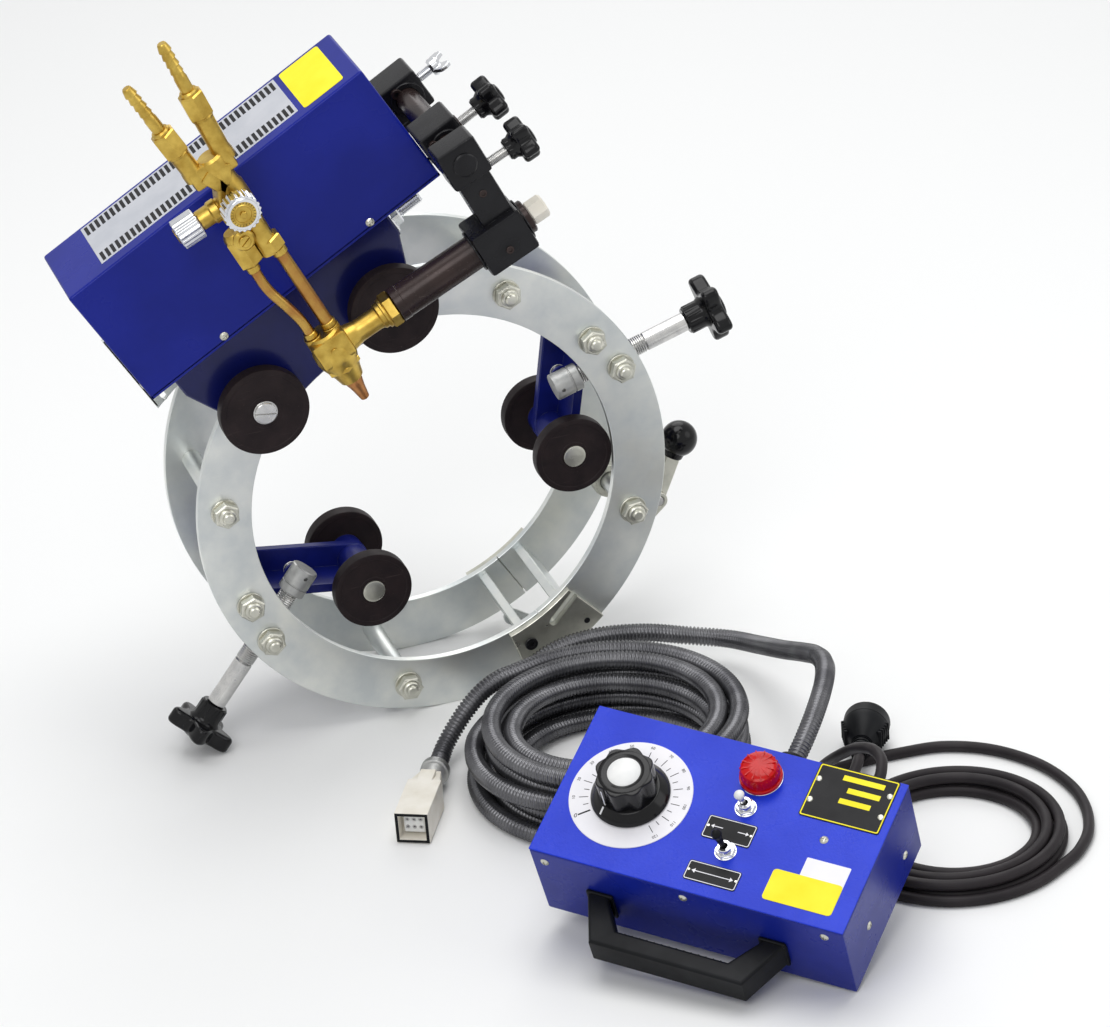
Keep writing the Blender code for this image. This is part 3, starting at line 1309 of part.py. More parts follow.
def make_lamp_and_toggles():
    base = box_height + running_gap
    lens = turned([(0, lamp_height), (lamp_radius * 0.5, lamp_height * 0.94), (lamp_radius * 0.85, lamp_height * 0.75),
                   (lamp_radius, lamp_height * 0.4), (lamp_radius, lamp_bezel_height), (lamp_bezel, lamp_bezel_height),
                   (lamp_bezel, 0), (0, 0)], turned_steps)
    node("pilot_lamp", [moved(lens, shift(lamp_x, lamp_y, base))], red, control)
    for name, y in (("power_toggle", power_toggle_y), ("direction_toggle", direction_toggle_y)):
        ball = toggle_bore - running_gap
        lever = turned([(0, toggle_lever_length), (toggle_tip_radius * 0.8, toggle_lever_length),
                        (toggle_tip_radius, toggle_lever_length * 0.9), (toggle_lever_radius, toggle_lever_length * 0.4),
                        (toggle_lever_radius, ball * 0.8), (ball, ball * 0.25), (ball, -ball * 0.25),
                        (toggle_lever_radius, -ball * 0.8), (0, -ball * 0.8)], nut_steps)
        pivot = (toggle_x, y, box_height + toggle_pivot)
        node(name, [moved(lever, shift(*pivot) @ Matrix.Rotation(-toggle_lean, 4, "Y"))], bright_steel, control, pivot)


def toggle_bushes():
    # Each toggle's threaded bush and its nut, on the panel
    top = box_height + toggle_bush_height
    nut_top = box_height + toggle_nut_height
    low = box_height - box_edge
    profile = [(0, top), (toggle_bush_radius, top), (toggle_bush_radius, nut_top), (toggle_nut_radius, nut_top),
               (toggle_nut_radius, low), (0, low)]
    return [moved(turned(profile, 12), shift(toggle_x, y, 0)) for y in (power_toggle_y, direction_toggle_y)]


def make_handle():
    # A moulded bow: an outline in x and y, extruded up through the handle's height
    mid = handle_leg_thickness / 2
    outer = [(handle_left - mid, 0), (handle_left + handle_grip_inset - mid, -handle_reach),
             (handle_right - handle_grip_inset + mid, -handle_reach), (handle_right + mid, 0)]
    inner = [(handle_right - mid, 0), (handle_right - handle_grip_inset - mid, -handle_reach + handle_grip_thickness),
             (handle_left + handle_grip_inset + mid, -handle_reach + handle_grip_thickness), (handle_left + mid, 0)]
    outline = [(x, y - running_gap) for x, y in outer + inner]
    bow = plate(outline, -handle_height / 2, handle_height / 2)
    moved(bow, Matrix.Rotation(-quarter_turn, 4, "X"))
    piece = temporary(bow)
    soften = piece.modifiers.new("Edges", "BEVEL")
    soften.width = handle_edge
    soften.segments = 2
    soften.limit_method = "ANGLE"
    bow = take_mesh(piece)
    low = min(v.co.y for v in bow.vertices)
    if low > -handle_reach / 2:
        moved(bow, Matrix.Scale(-1, 4, (0, 1, 0)))
    node("carry_handle", [moved(bow, shift(0, 0, handle_centre_z))], black, control)


def box_glands():
    glands = []
    for x, radius, length in ((hose_gland_x, hose_gland_radius, hose_gland_length),
                              (cable_gland_x, cable_gland_radius, cable_gland_length)):
        profile = [(0, length), (radius * 0.75, length), (radius * 0.8, length * 0.45), (radius, length * 0.42),
                   (radius, -box_edge), (0, -box_edge)]
        glands.append(moved(turned(profile, nut_steps), shift(x, box_width, gland_z) @ along_y))
    return glands


# Cords

def world_route(points):
    return [Vector((x * mm + ring_x, y * mm + ring_y, z * mm)) for x, y, z in points]


def smooth_route(points, spacing):
    # A smooth curve through hand-chosen points, read off at an even spacing between straight ends
    fine = []
    for i in range(1, len(points) - 2):
        before, start, end, after = points[i - 1:i + 3]
        for j in range(24):
            t = j / 24
            b = (end - before) * t
            c = (before * 2 - start * 5 + end * 4 - after) * t ** 2
            d = (start * 3 - before - end * 3 + after) * t ** 3
            fine.append(start + (b + c + d) / 2)
    fine.append(points[-2])
    lengths = [0]
    for i in range(1, len(fine)):
        lengths.append(lengths[-1] + (fine[i] - fine[i - 1]).length)
    steps = max(2, round(lengths[-1] / spacing))
    even = [points[0]]
    k = 0
    for i in range(steps + 1):
        want = lengths[-1] * i / steps
        while k < len(lengths) - 2 and lengths[k + 1] < want:
            k += 1
        share = (want - lengths[k]) / max(lengths[k + 1] - lengths[k], weld_distance)
        even.append(fine[k].lerp(fine[k + 1], min(share, 1)))
    even.append(points[-1])
    ends = (points[1] - points[0]).length + (points[-1] - points[-2]).length
    return even, lengths[-1] + ends


def coil_route(centre, radius, tube_radius, gap, loops, turns, start_angle, sense):
    # The turns spiral in on one layer and out on the next, and climb a layer in the half turn
    # whose middle is the place where the spiral reverses. Both ends run on straight.
    step = 2 * tube_radius + gap
    layers = round(turns / loops)
    middle = Vector((centre[0] + ring_x, centre[1] + ring_y, 0))
    route = []
    for i in range(round(turns * loop_points) + 1):
        done = i / loop_points
        layer = min(int(done / loops), layers - 1)
        inside = done - layer * loops
        reach = radius - step * (inside if layer % 2 == 0 else loops - inside)
        height = tube_radius
        for change in range(1, layers):
            height += step * min(max((done - change * loops) * 2 + 0.5, 0), 1)
        angle = start_angle + sense * done * turn
        route.append(middle + Vector((reach * math.cos(angle), reach * math.sin(angle), height)))
    lead = Vector((-sense * math.sin(start_angle), sense * math.cos(start_angle), 0)) * 2 * tube_radius
    trail = Vector((-sense * math.sin(angle), sense * math.cos(angle), 0)) * 2 * tube_radius
    return [route[0] - lead] + route + [route[-1] + trail]


def least_gap(route, tube_radius, skip):
    best = 1
    for i in range(len(route) - 1):
        for j in range(i + skip, len(route) - 1):
            between = segment_gap(route[i], route[i + 1], route[j], route[j + 1])
            best = min(best, between)
    return best - 2 * tube_radius


def segment_gap(a, b, c, d):
    best = 1
    for s in range(5):
        p = a.lerp(b, s / 4)
        line = d - c
        t = max(0, min(1, (p - c).dot(line) / line.length_squared))
        best = min(best, (p - c - line * t).length)
    return best


hose_run_points = [
    (158.2, -384.6, 111.3), (168.9, -374.7, 117.9), (187, -354, 127), (208, -321, 130), (226, -279, 121),
    (238, -232, 103), (244, -184, 80), (245, -135, 57), (241, -87, 38), (228, -50, 28), (199, -31, 29),
    (158.8, -29, 41), (118, -29, 47), (84, -29, 44), (54, -30, 30), (30, -40, 15.5), (11, -67, 9),
    (-1.84, -92.03, 8), (-9.84, -105.88, 8)]
hose_tail_points = [
    (34.8, -74.06, 58.7), (19.35, -78.2, 58.7), (2, -83, 54), (-14, -88, 44), (-28, -92.5, 31), (-39, -98, 20),
    (-46.1, -106.1, 14.4), (-53.9, -119.8, 14.4)]
cable_run_points = [
    (203.4, -435, 104.3), (209.4, -429.4, 108), (217, -413, 111), (219, -390, 107), (217, -360, 92),
    (214, -325, 66), (216, -288, 36), (228, -259, 13), (247, -247, 5), (268, -245.5, 4.6), (300, -247, 4.6),
    (335, -253, 4.6), (368, -275, 4.6), (392, -311, 4.6), (401, -350, 4.6), (398, -385, 4.6), (385, -418, 4.6),
    (366, -441, 4.6), (349.85, -452.25, 4.5), (342.05, -456.75, 4.5)]
cable_tail_points = [
    (215.4, -327.9, 14.4), (219.9, -320.1, 14.4), (230, -303, 14.8), (243, -283, 16.5), (253.6, -268.8, 19.3),
    (258, -261, 19.4)]


def ribbed_tube(route, radius):
    # A corrugated hose with its bore: each rib is two points of unlike radius
    radii = [radius if i % 2 else radius - hose_rib_depth for i in range(len(route))]
    radii[0] = radii[1] = radii[-1] = radii[-2] = radius
    way = [route[0] * 2 - route[1]] + route[1:-2:2] + [route[-2], route[-1] * 2 - route[-2]]
    return cut(tube(route, radius, 2, radii), [tube(way, hose_bore_radius, 1)])


def make_cords():
    coil = coil_route(hose_coil_centre, hose_coil_radius, hose_radius, hose_loop_gap, hose_coil_loops, hose_coil_turns,
                      hose_coil_start, 1)
    print("hose coil start", [round(v / mm, 1) for v in coil[0]], "end", [round(v / mm, 1) for v in coil[-1]])
    print("hose coil least gap in mm", round(least_gap(coil, hose_radius, 12) / mm, 2))
    node("hose_coil", [tube(coil, hose_radius, 1)], hose_grey, None)
    route, length = smooth_route(world_route(hose_run_points), hose_rib_pitch / 2)
    print("hose run length in mm", round(length / mm), "points", len(route))
    node("hose_run", [ribbed_tube(route, hose_radius)], hose_grey, None)
    route, length = smooth_route(world_route(hose_tail_points), hose_rib_pitch / 2)
    print("hose tail length in mm", round(length / mm), "points", len(route))
    node("hose_tail", [ribbed_tube(route, hose_radius)], hose_grey, None)
    coil = coil_route(cable_coil_centre, cable_coil_radius, cable_radius, cable_loop_gap, cable_coil_loops,
                      cable_coil_turns, cable_coil_start, -1)
    print("cable coil start", [round(v / mm, 1) for v in coil[0]], "end", [round(v / mm, 1) for v in coil[-1]])
    print("cable coil least gap in mm", round(least_gap(coil, cable_radius, 12) / mm, 2))
    node("cable_coil", [tube(coil, cable_radius, 1)], cable_black, None)
    route, length = smooth_route(world_route(cable_run_points), cable_radius * 5)
    print("cable run length in mm", round(length / mm), "points", len(route))
    node("cable_run", [tube(route, cable_radius, 2)], cable_black, None)
    route, length = smooth_route(world_route(cable_tail_points), cable_radius * 4)
    print("cable tail length in mm", round(length / mm), "points", len(route))
    node("cable_tail", [tube(route, cable_radius, 2)], cable_black, None)


def end_place(points):
    # The frame at a route's end: x along the cord's last stretch, z up
    last, before = world_route(points)[-1], world_route(points)[-2]
    heading = math.atan2(last.y - before.y, last.x - before.x)
    return Matrix.Translation(last) @ Matrix.Rotation(heading, 4, "Z")


def make_connector():
    # A hooded connector: a ring gland, a tapering shoulder and a square hood with an open mouth
    gland = moved(turned([(0, hood_gland_length), (hood_gland_radius, hood_gland_length), (hood_gland_radius, 0),
                          (0, 0)], nut_steps), shift(running_gap, 0, 0) @ along_x)
    start = running_gap + hood_gland_length - box_edge
    hood = block((start, -hood_width / 2, -hood_height / 2), (start + hood_length, hood_width / 2, hood_height / 2))
    for vertex in hood.vertices:
        if vertex.co.x < start + box_edge:
            vertex.co.y *= hood_neck_share
            vertex.co.z *= hood_neck_share
    body = block((start + hood_length - overrun, -hood_width / 2, -hood_height / 2),
                 (start + hood_length + hood_body_length, hood_width / 2, hood_height / 2))
    mouth_start = start + hood_length + hood_body_length - hood_mouth_depth
    mouth = block((mouth_start, -hood_width / 2 + hood_wall, -hood_height / 2 + hood_wall),
                  (start + hood_length + hood_body_length + overrun, hood_width / 2 - hood_wall, hood_height / 2 - hood_wall))
    insert = block((mouth_start - overrun, -hood_insert_width / 2, -hood_insert_width / 2),
                   (mouth_start + hood_mouth_depth - hood_insert_setback, hood_insert_width / 2, hood_insert_width / 2))
    solid = join_solids(cut(join_solids(hood, [body, gland]), [mouth]), [insert])
    node("hose_connector", [moved(solid, end_place(hose_tail_points))], cream, None)


def make_plug():
    # A mains plug: a relief sleeve, a wedge-shaped back and a round face with two pins
    sleeve = moved(turned([(0, plug_sleeve_length), (plug_sleeve_radius * 1.2, plug_sleeve_length),
                           (plug_sleeve_radius, 0), (0, 0)], nut_steps), shift(running_gap, 0, 0) @ along_x)
    start = running_gap + plug_sleeve_length - overrun
    back = moved(turned([(0, plug_back_length), (plug_radius, plug_back_length), (plug_radius * 0.45, 0), (0, 0)],
                        turned_steps), shift(start, 0, 0) @ along_x)
    face = moved(rod(plug_radius, 0, plug_face_length, turned_steps), shift(start + plug_back_length - box_edge / 2, 0, 0)
                 @ along_x)
    end = start + plug_back_length + plug_face_length - overrun
    pins = [moved(rod(plug_pin_radius, 0, plug_pin_length + overrun, bar_steps), shift(end, y, 0) @ along_x)
            for y in (-plug_pin_spread / 2, plug_pin_spread / 2)]
    solid = join_solids(back, [sleeve, face] + pins)
    node("mains_plug", [moved(solid, end_place(cable_tail_points))], cable_black, None)


clear_scene()
parts = bpy.data.collections.new("pipe_cutting_machine")
bpy.context.scene.collection.children.link(parts)

steel = make_material("zinc_steel", (0.72, 0.74, 0.76), 0.35, 1)
bright_steel = make_material("bright_steel", (0.78, 0.78, 0.78), 0.25, 1)
chrome = make_material("chrome", (0.85, 0.86, 0.87), 0.12, 1)
blue = make_material("blue_enamel", (0.02, 0.06, 0.45), 0.35, 0)
navy = make_material("navy_enamel", (0.015, 0.03, 0.2), 0.35, 0)
rubber = make_material("roller_rubber", (0.035, 0.028, 0.027), 0.6, 0)
brass = make_material("brass", (0.78, 0.58, 0.16), 0.25, 1)
copper = make_material("copper", (0.75, 0.38, 0.2), 0.3, 1)
black = make_material("black_plastic", (0.012, 0.012, 0.012), 0.25, 0)
black_metal = make_material("black_metal", (0.02, 0.02, 0.024), 0.35, 0.3)
dark_metal = make_material("dark_metal", (0.05, 0.042, 0.04), 0.35, 0.8)
grey_metal = make_material("grey_metal", (0.35, 0.36, 0.37), 0.5, 1)
pale_metal = make_material("pale_metal", (0.75, 0.7, 0.6), 0.4, 0.4)
red = make_material("red_lens", (0.7, 0.02, 0.02), 0.2, 0)
hose_grey = make_material("hose_grey", (0.2, 0.21, 0.22), 0.35, 0.8)
cable_black = make_material("cable_black", (0.03, 0.03, 0.03), 0.5, 0)
cream = make_material("cream_plastic", (0.7, 0.66, 0.55), 0.5, 0)

ring = frame_empty("ring_frame", None, shift(ring_x, ring_y, ring_radius) @ spin_y(-ring_tilt))
swivel = frame_empty("swivel_frame", ring, shift(bar_axis_x, swivel_y, bar_axis_z) @ spin_y(swivel_angle))
tilt = Euler((box_roll, box_pitch, box_heading), "XYZ").to_matrix().to_4x4()
control = frame_empty("control_frame", None, shift(box_place[0] + ring_x, box_place[1] + ring_y, box_place[2]) @ tilt)

nuts = nut_stack()
make_ring()
make_drive_base()
make_cover()
make_bracket()
make_drive_axles()
make_gear_motor()
make_socket()
for arm_side, arm_name in ((-1, "left"), (1, "right")):
    make_arm(arm_side, arm_name)
    make_spindle(arm_side, arm_name)
make_latch()
make_holder()
make_swivel()
make_torch()
make_control_box()
make_speed_knob()
make_lamp_and_toggles()
make_handle()
make_cords()
make_connector()
make_plug()
print("objects", len(parts.objects))
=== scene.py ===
import math

import bmesh
import bpy
from mathutils import Euler, Matrix, Vector


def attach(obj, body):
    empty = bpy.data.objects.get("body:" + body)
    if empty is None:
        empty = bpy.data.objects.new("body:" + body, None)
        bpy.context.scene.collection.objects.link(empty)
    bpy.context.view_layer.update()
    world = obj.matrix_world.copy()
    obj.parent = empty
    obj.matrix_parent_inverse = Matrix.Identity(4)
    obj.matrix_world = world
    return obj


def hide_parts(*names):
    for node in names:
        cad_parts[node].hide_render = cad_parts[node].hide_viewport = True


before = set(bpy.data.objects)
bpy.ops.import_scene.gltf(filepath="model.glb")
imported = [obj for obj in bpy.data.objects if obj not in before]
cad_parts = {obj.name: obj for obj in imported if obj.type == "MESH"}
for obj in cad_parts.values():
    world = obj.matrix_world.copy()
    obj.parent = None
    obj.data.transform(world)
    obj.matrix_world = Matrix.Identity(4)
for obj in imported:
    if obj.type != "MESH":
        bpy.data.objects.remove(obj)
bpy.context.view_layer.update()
turn = 2 * math.pi
quarterTurn = math.pi / 2
print("model loaded with", len(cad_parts), "pieces")

# Where the three parts of the machine stand; every measure is in millimetres, apart from the camera's and the lamps'
stand = {"ring": (7.1, 209.4, 200), "ringTilt": -29.1, "swivel": (176, -85, 270), "swivelTilt": 4.2,
         "box": (-32.7, -152.9, 20.5), "boxTurn": (24.47, 4.51, -45.05)}


def shift(x, y, z):
    return Matrix.Translation((x, y, z))


def turned(degrees, axis):
    return Matrix.Rotation(math.radians(degrees), 4, axis)


floorFrame = Matrix.Scale(0.001, 4)
ringFrame = floorFrame @ shift(*stand["ring"]) @ turned(stand["ringTilt"], "Y")
swivelFrame = ringFrame @ shift(*stand["swivel"]) @ turned(stand["swivelTilt"], "Y")
boxFrame = (floorFrame @ shift(*stand["box"])
            @ Euler([math.radians(angle) for angle in stand["boxTurn"]], "XYZ").to_matrix().to_4x4())
alongX = turned(90, "Y")  # turned shapes stand on Z, and these lay them along another axis
againstX = turned(-90, "Y")
alongY = turned(-90, "X")
againstY = turned(90, "X")
upright = turned(90, "X")  # a flat outline's x and y become x and z


# Workshop tools; the first ones make solids that stand on Z

def tidied(work):
    bmesh.ops.remove_doubles(work, verts=work.verts, dist=0.002)
    bmesh.ops.recalc_face_normals(work, faces=work.faces)
    return work


def lathe(profile, steps=48, closed=False):
    # The profile runs from the top down the outer side, as pairs of radius and height, with flat ends unless closed
    if not closed:
        ends = [[(0, height)] if radius else [] for radius, height in (profile[0], profile[-1])]
        profile = ends[0] + profile + ends[1]
    work = bmesh.new()
    verts = [work.verts.new((radius, 0, height)) for radius, height in profile]
    edges = [work.edges.new(pair) for pair in zip(verts, verts[1:])]
    if closed:
        edges.append(work.edges.new((verts[-1], verts[0])))
    bmesh.ops.spin(work, geom=verts + edges, cent=(0, 0, 0), axis=(0, 0, 1), angle=turn, steps=steps, use_merge=True)
    return tidied(work)


def outerSide(radius, low, high, soft):
    return [(radius - soft, high), (radius, high - soft), (radius, low + soft), (radius - soft, low)]


def rod(radius, low, high, soft=0.4, steps=40):
    return lathe(outerSide(radius, low, high, soft), steps)


def bore(radius, low, high, place, steps=56):
    # A drill for a hole with sharp rims, in its place
    return put(rod(radius, low, high, 0.01, steps), place)


def sleeve(inner, outer, low, high, soft=0.4, steps=40):
    return lathe([(inner, high), *outerSide(outer, low, high, soft), (inner, low)], steps, closed=True)


def threaded(radius, low, high, pitch=1.5, depth=0.55, soft=1, steps=32):
    # A screw's ridges, with a run-out at both ends
    profile = [(radius - soft, high), (radius - depth, high - soft)]
    for i in range(int((high - low - 2 * soft) / pitch)):
        top = high - soft - i * pitch
        profile += [(radius, top - pitch * 0.4), (radius, top - pitch * 0.6), (radius - depth, top - pitch)]
    return lathe(profile + [(radius - depth, low + soft), (radius - soft, low)], steps)


def hexagon(flats, low, high, soft=0.7):
    # Its corners are turned off as on a real nut
    corner = flats / 2 / math.cos(turn / 12)
    work = bmesh.new()
    bmesh.ops.create_cone(work, cap_ends=True, segments=6, radius1=corner, radius2=corner, depth=high - low)
    bmesh.ops.translate(work, vec=(0, 0, (high + low) / 2), verts=work.verts)
    rims = [edge for edge in work.edges if abs(edge.verts[0].co.z - edge.verts[1].co.z) < 0.01]
    bmesh.ops.bevel(work, geom=rims, offset=soft, segments=1, profile=0.5, affect="EDGES", material=-1)
    return tidied(work)


def block(low, high, soft=0.6, segments=1):
    work = bmesh.new()
    bmesh.ops.create_cube(work, size=1)
    bmesh.ops.scale(work, vec=[high[i] - low[i] for i in range(3)], verts=work.verts)
    bmesh.ops.translate(work, vec=[(high[i] + low[i]) / 2 for i in range(3)], verts=work.verts)
    bmesh.ops.bevel(work, geom=list(work.edges), offset=soft, segments=segments, profile=0.5, affect="EDGES",
                    material=-1)
    return work


def ball(radius, segments=32):
    work = bmesh.new()
    bmesh.ops.create_uvsphere(work, u_segments=segments, v_segments=segments // 2, radius=radius)
    return work


def linked(name, data):
    thing = bpy.data.objects.new(name, data)
    bpy.context.scene.collection.objects.link(thing)
    return thing


def meshOf(*things):
    # The finished mesh of the first thing, for more work on it; the things themselves go
    bpy.context.view_layer.update()
    work = bmesh.new()
    work.from_mesh(bpy.data.meshes.new_from_object(
        things[0].evaluated_get(bpy.context.evaluated_depsgraph_get())))
    for thing in things:
        bpy.data.objects.remove(thing)
    return work


def addPath(curve, points, closed=False):
    path = curve.splines.new("POLY")
    path.points.add(len(points) - 1)
    for spot, place in zip(path.points, points):
        spot.co = (*place, 1)
    path.use_cyclic_u = closed
    return path


def slab(outline, low, high, holes=(), soft=0.4, rounds=0):
    # A flat outline with its holes, its thickness upwards and its edges broken
    curve = bpy.data.curves.new("outline", "CURVE")
    curve.dimensions = "2D"
    curve.fill_mode = "BOTH"
    curve.extrude = (high - low) / 2 - soft
    curve.bevel_depth = soft
    curve.bevel_resolution = rounds
    curve.offset = -soft
    for path in (outline, *holes):
        addPath(curve, [(x, y, 0) for x, y in path], True)
    return put(tidied(meshOf(linked("outline", curve))), shift(0, 0, (high + low) / 2))


def plate(outline, low, high, holes=(), soft=0.4):
    # The same, standing: the outline in x and z and the thickness along y
    return put(slab(outline, -high, -low, holes, soft), upright)


def tubeCurve(name, points, radius, resolution, shares=None):
    # A round tube; the shares make it thinner from point to point
    curve = bpy.data.curves.new(name, "CURVE")
    curve.dimensions = "3D"
    curve.bevel_depth = radius
    curve.bevel_resolution = resolution
    curve.use_fill_caps = True
    for spot, share in zip(addPath(curve, points).points, shares or ()):
        spot.radius = share
    return curve


def tube(points, radius, resolution=4, shares=None):
    return tidied(meshOf(linked("route", tubeCurve("route", points, radius, resolution, shares))))


def put(work, matrix):
    bmesh.ops.transform(work, matrix=matrix, verts=work.verts)
    return work


def putAll(shapes, matrix):
    return [put(shape, matrix) for shape in shapes]


def around(count, shape, axis="Z", place=Matrix()):
    # The same shape again and again, evenly round an axis
    return [put(shape.copy(), place @ turned(360 / count * i, axis)) for i in range(count)]


def drilled(work, cutters, operation="DIFFERENCE"):
    # Cuts drills and pockets out of a shape
    pieces = []
    for each in (work, *cutters):
        mesh = bpy.data.meshes.new("cut")
        each.to_mesh(mesh)
        each.free()
        pieces.append(linked("cut", mesh))
    for cutter in pieces[1:]:
        step = pieces[0].modifiers.new("Cut", "BOOLEAN")
        step.operation = operation
        step.solver = "EXACT"
        step.object = cutter
    return tidied(meshOf(*pieces))


def make(name, parts, body="machine", place=ringFrame, replaces=None, sharp=32):
    # One finished piece: each finish with its shapes, set in its place and made to ride on its body. It replaces the
    # model's piece of the same name unless told otherwise
    whole = bmesh.new()
    for number, shapes in enumerate(parts.values()):
        for shape in shapes:
            for face in shape.faces:
                face.material_index = number
            mesh = bpy.data.meshes.new("part")
            shape.to_mesh(mesh)
            shape.free()
            whole.from_mesh(mesh)
            bpy.data.meshes.remove(mesh)
    put(whole, place)
    data = bpy.data.meshes.new(name)
    whole.to_mesh(data)
    whole.free()
    data.shade_smooth()
    data.set_sharp_from_angle(angle=math.radians(sharp))
    for material in parts:
        data.materials.append(finishes[material])
    piece = linked(name, data)
    piece.modifiers.new("Flats", "WEIGHTED_NORMAL").keep_sharp = True
    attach(piece, body)
    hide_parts(replaces or "".join("_" + letter.lower() if letter.isupper() else letter for letter in name))
    return piece


def ringPoint(radius, degrees):
    # The angle runs from the drive side, counter-clockwise as the torch side sees it
    angle = math.radians(degrees)
    return (-radius * math.sin(angle), radius * math.cos(angle))


def arc(centre, radius, start, end, step=2.5):
    count = max(2, math.ceil(abs(end - start) / step))
    angles = [math.radians(start + (end - start) * i / count) for i in range(count + 1)]
    return [(centre[0] + radius * math.cos(a), centre[1] + radius * math.sin(a)) for a in angles]


def circle(centre, radius, count=32):
    return arc(centre, radius, 0, 360, 360 / count)[:-1]


def ringArc(radius, start, end, step=1.5):
    return arc((0, 0), radius, start + 90, end + 90, step)


def strap(first, firstRadius, second, secondRadius, step=8):
    # The outline round two circles, as a belt would lie
    dx, dy = second[0] - first[0], second[1] - first[1]
    heading = math.degrees(math.atan2(dy, dx))
    lean = math.degrees(math.acos((firstRadius - secondRadius) / math.hypot(dx, dy)))
    return (arc(first, firstRadius, heading + lean, heading + 360 - lean, step)
            + arc(second, secondRadius, heading - lean, heading + lean, step))


def roundedPatch(x0, y0, x1, y1, radius=2, step=18):
    corners = ((x1 - radius, y1 - radius, 0), (x0 + radius, y1 - radius, 90), (x0 + radius, y0 + radius, 180),
               (x1 - radius, y0 + radius, 270))
    return [point for x, y, start in corners for point in arc((x, y), radius, start, start + 90, step)]


def waves(radius, depth, count, pointsEach=12, power=1.0):
    outline = []
    for i in range(count * pointsEach):
        angle = turn * i / (count * pointsEach)
        reach = radius - depth + depth * ((1 + math.cos(count * angle)) / 2) ** power
        outline.append((reach * math.cos(angle), reach * math.sin(angle)))
    return outline


def flowing(points, count):
    # A smooth curve through given points; the first and the last only steer it
    fine = []
    for i in range(1, len(points) - 2):
        before, start, end, after = points[i - 1:i + 3]
        for j in range(count):
            t = j / count
            fine.append(start + ((end - before) * t + (before * 2 - start * 5 + end * 4 - after) * t ** 2
                                 + (start * 3 - before - end * 3 + after) * t ** 3) / 2)
    return fine


# Finishes: the effects that several of them use are groups, built once

def colour(red, green, blue):
    # A colour as a paint chart gives it, 0 to 255
    return tuple((v / 255 / 12.92) if v <= 10.3 else ((v / 255 + 0.055) / 1.055) ** 2.4
                 for v in (red, green, blue)) + (1,)


def feed(tree, node, inputs):
    # Each input takes a value, or is linked to another node's output
    for label, value in dict(inputs).items():
        if isinstance(value, bpy.types.NodeSocket):
            tree.links.new(value, node.inputs[label])
        else:
            node.inputs[label].default_value = value


def addNode(tree, kind, inputs=(), **settings):
    node = tree.nodes.new("ShaderNode" + kind)
    for label, value in settings.items():
        setattr(node, label, value)
    feed(tree, node, inputs)
    return node


def maths(tree, operation, *values):
    return addNode(tree, "Math", enumerate(values), operation=operation, use_clamp=operation == "ADD").outputs[0]


def ranged(tree, value, low, high, toLow=0, toHigh=1):
    return addNode(tree, "MapRange", {"Value": value, "From Min": low, "From Max": high, "To Min": toLow,
                                      "To Max": toHigh}).outputs["Result"]


def noise(tree, vector, scale, detail, roughness=0.55):
    return addNode(tree, "TexNoise", {"Vector": vector, "Scale": scale, "Detail": detail,
                                      "Roughness": roughness}).outputs["Fac"]


def blend(tree, factor, first, second):
    return addNode(tree, "Mix", {"Factor": factor, 6: first, 7: second}, data_type="RGBA").outputs[2]


def newGroup(name, gives, **numbers):
    # An effect takes the place on the object and some numbers, and gives masks
    tree = bpy.data.node_groups.new(name, "ShaderNodeTree")
    tree.interface.new_socket(name="Vector", in_out="INPUT", socket_type="NodeSocketVector")
    for label, value in numbers.items():
        tree.interface.new_socket(name=label, in_out="INPUT", socket_type="NodeSocketFloat").default_value = value
    for label in gives:
        tree.interface.new_socket(name=label, in_out="OUTPUT", socket_type="NodeSocketFloat")
    return tree, tree.nodes.new("NodeGroupInput").outputs, tree.nodes.new("NodeGroupOutput")


def buildMottle():
    # Soft clouds for colour and gloss, and a fine grain for the bump
    tree, take, give = newGroup("softMottle", ("Mask", "Height"), Scale=30, Grain=900)
    feed(tree, give, {"Mask": ranged(tree, noise(tree, take["Vector"], take["Scale"], 4), 0.34, 0.66),
                      "Height": noise(tree, take["Vector"], take["Grain"], 2, 0.6)})
    return tree


def buildEdgeWear():
    # Where an edge turns, the bevelled normal leaves the true one, and there the finish rubs off in patches
    tree, take, give = newGroup("edgeWear", ("Mask",), Reach=0.0006, Scale=160)
    rounded = addNode(tree, "Bevel", {"Radius": take["Reach"]}, samples=4).outputs["Normal"]
    straight = addNode(tree, "NewGeometry").outputs["Normal"]
    likeness = addNode(tree, "VectorMath", {0: rounded, 1: straight}, operation="DOT_PRODUCT").outputs["Value"]
    patches = ranged(tree, noise(tree, take["Vector"], take["Scale"], 5, 0.7), 0.46, 0.62)
    feed(tree, give, {"Mask": maths(tree, "MULTIPLY", ranged(tree, likeness, 0.995, 0.86), patches)})
    return tree


def buildScratches():
    # Fine rubbed lines, from a noise drawn out one way
    tree, take, give = newGroup("fineScratches", ("Mask",), Scale=40)
    both = []
    for lean, pull in ((0.5, (1, 22, 22)), (-0.9, (22, 1, 22))):
        drawn = addNode(tree, "Mapping", {"Vector": take["Vector"], "Rotation": (lean, lean * 0.6, lean),
                                          "Scale": pull})
        both.append(ranged(tree, noise(tree, drawn.outputs["Vector"], take["Scale"], 2), 0.68, 0.76))
    feed(tree, give, {"Mask": maths(tree, "ADD", *both)})
    return tree


softMottle = buildMottle()
edgeWear = buildEdgeWear()
fineScratches = buildScratches()


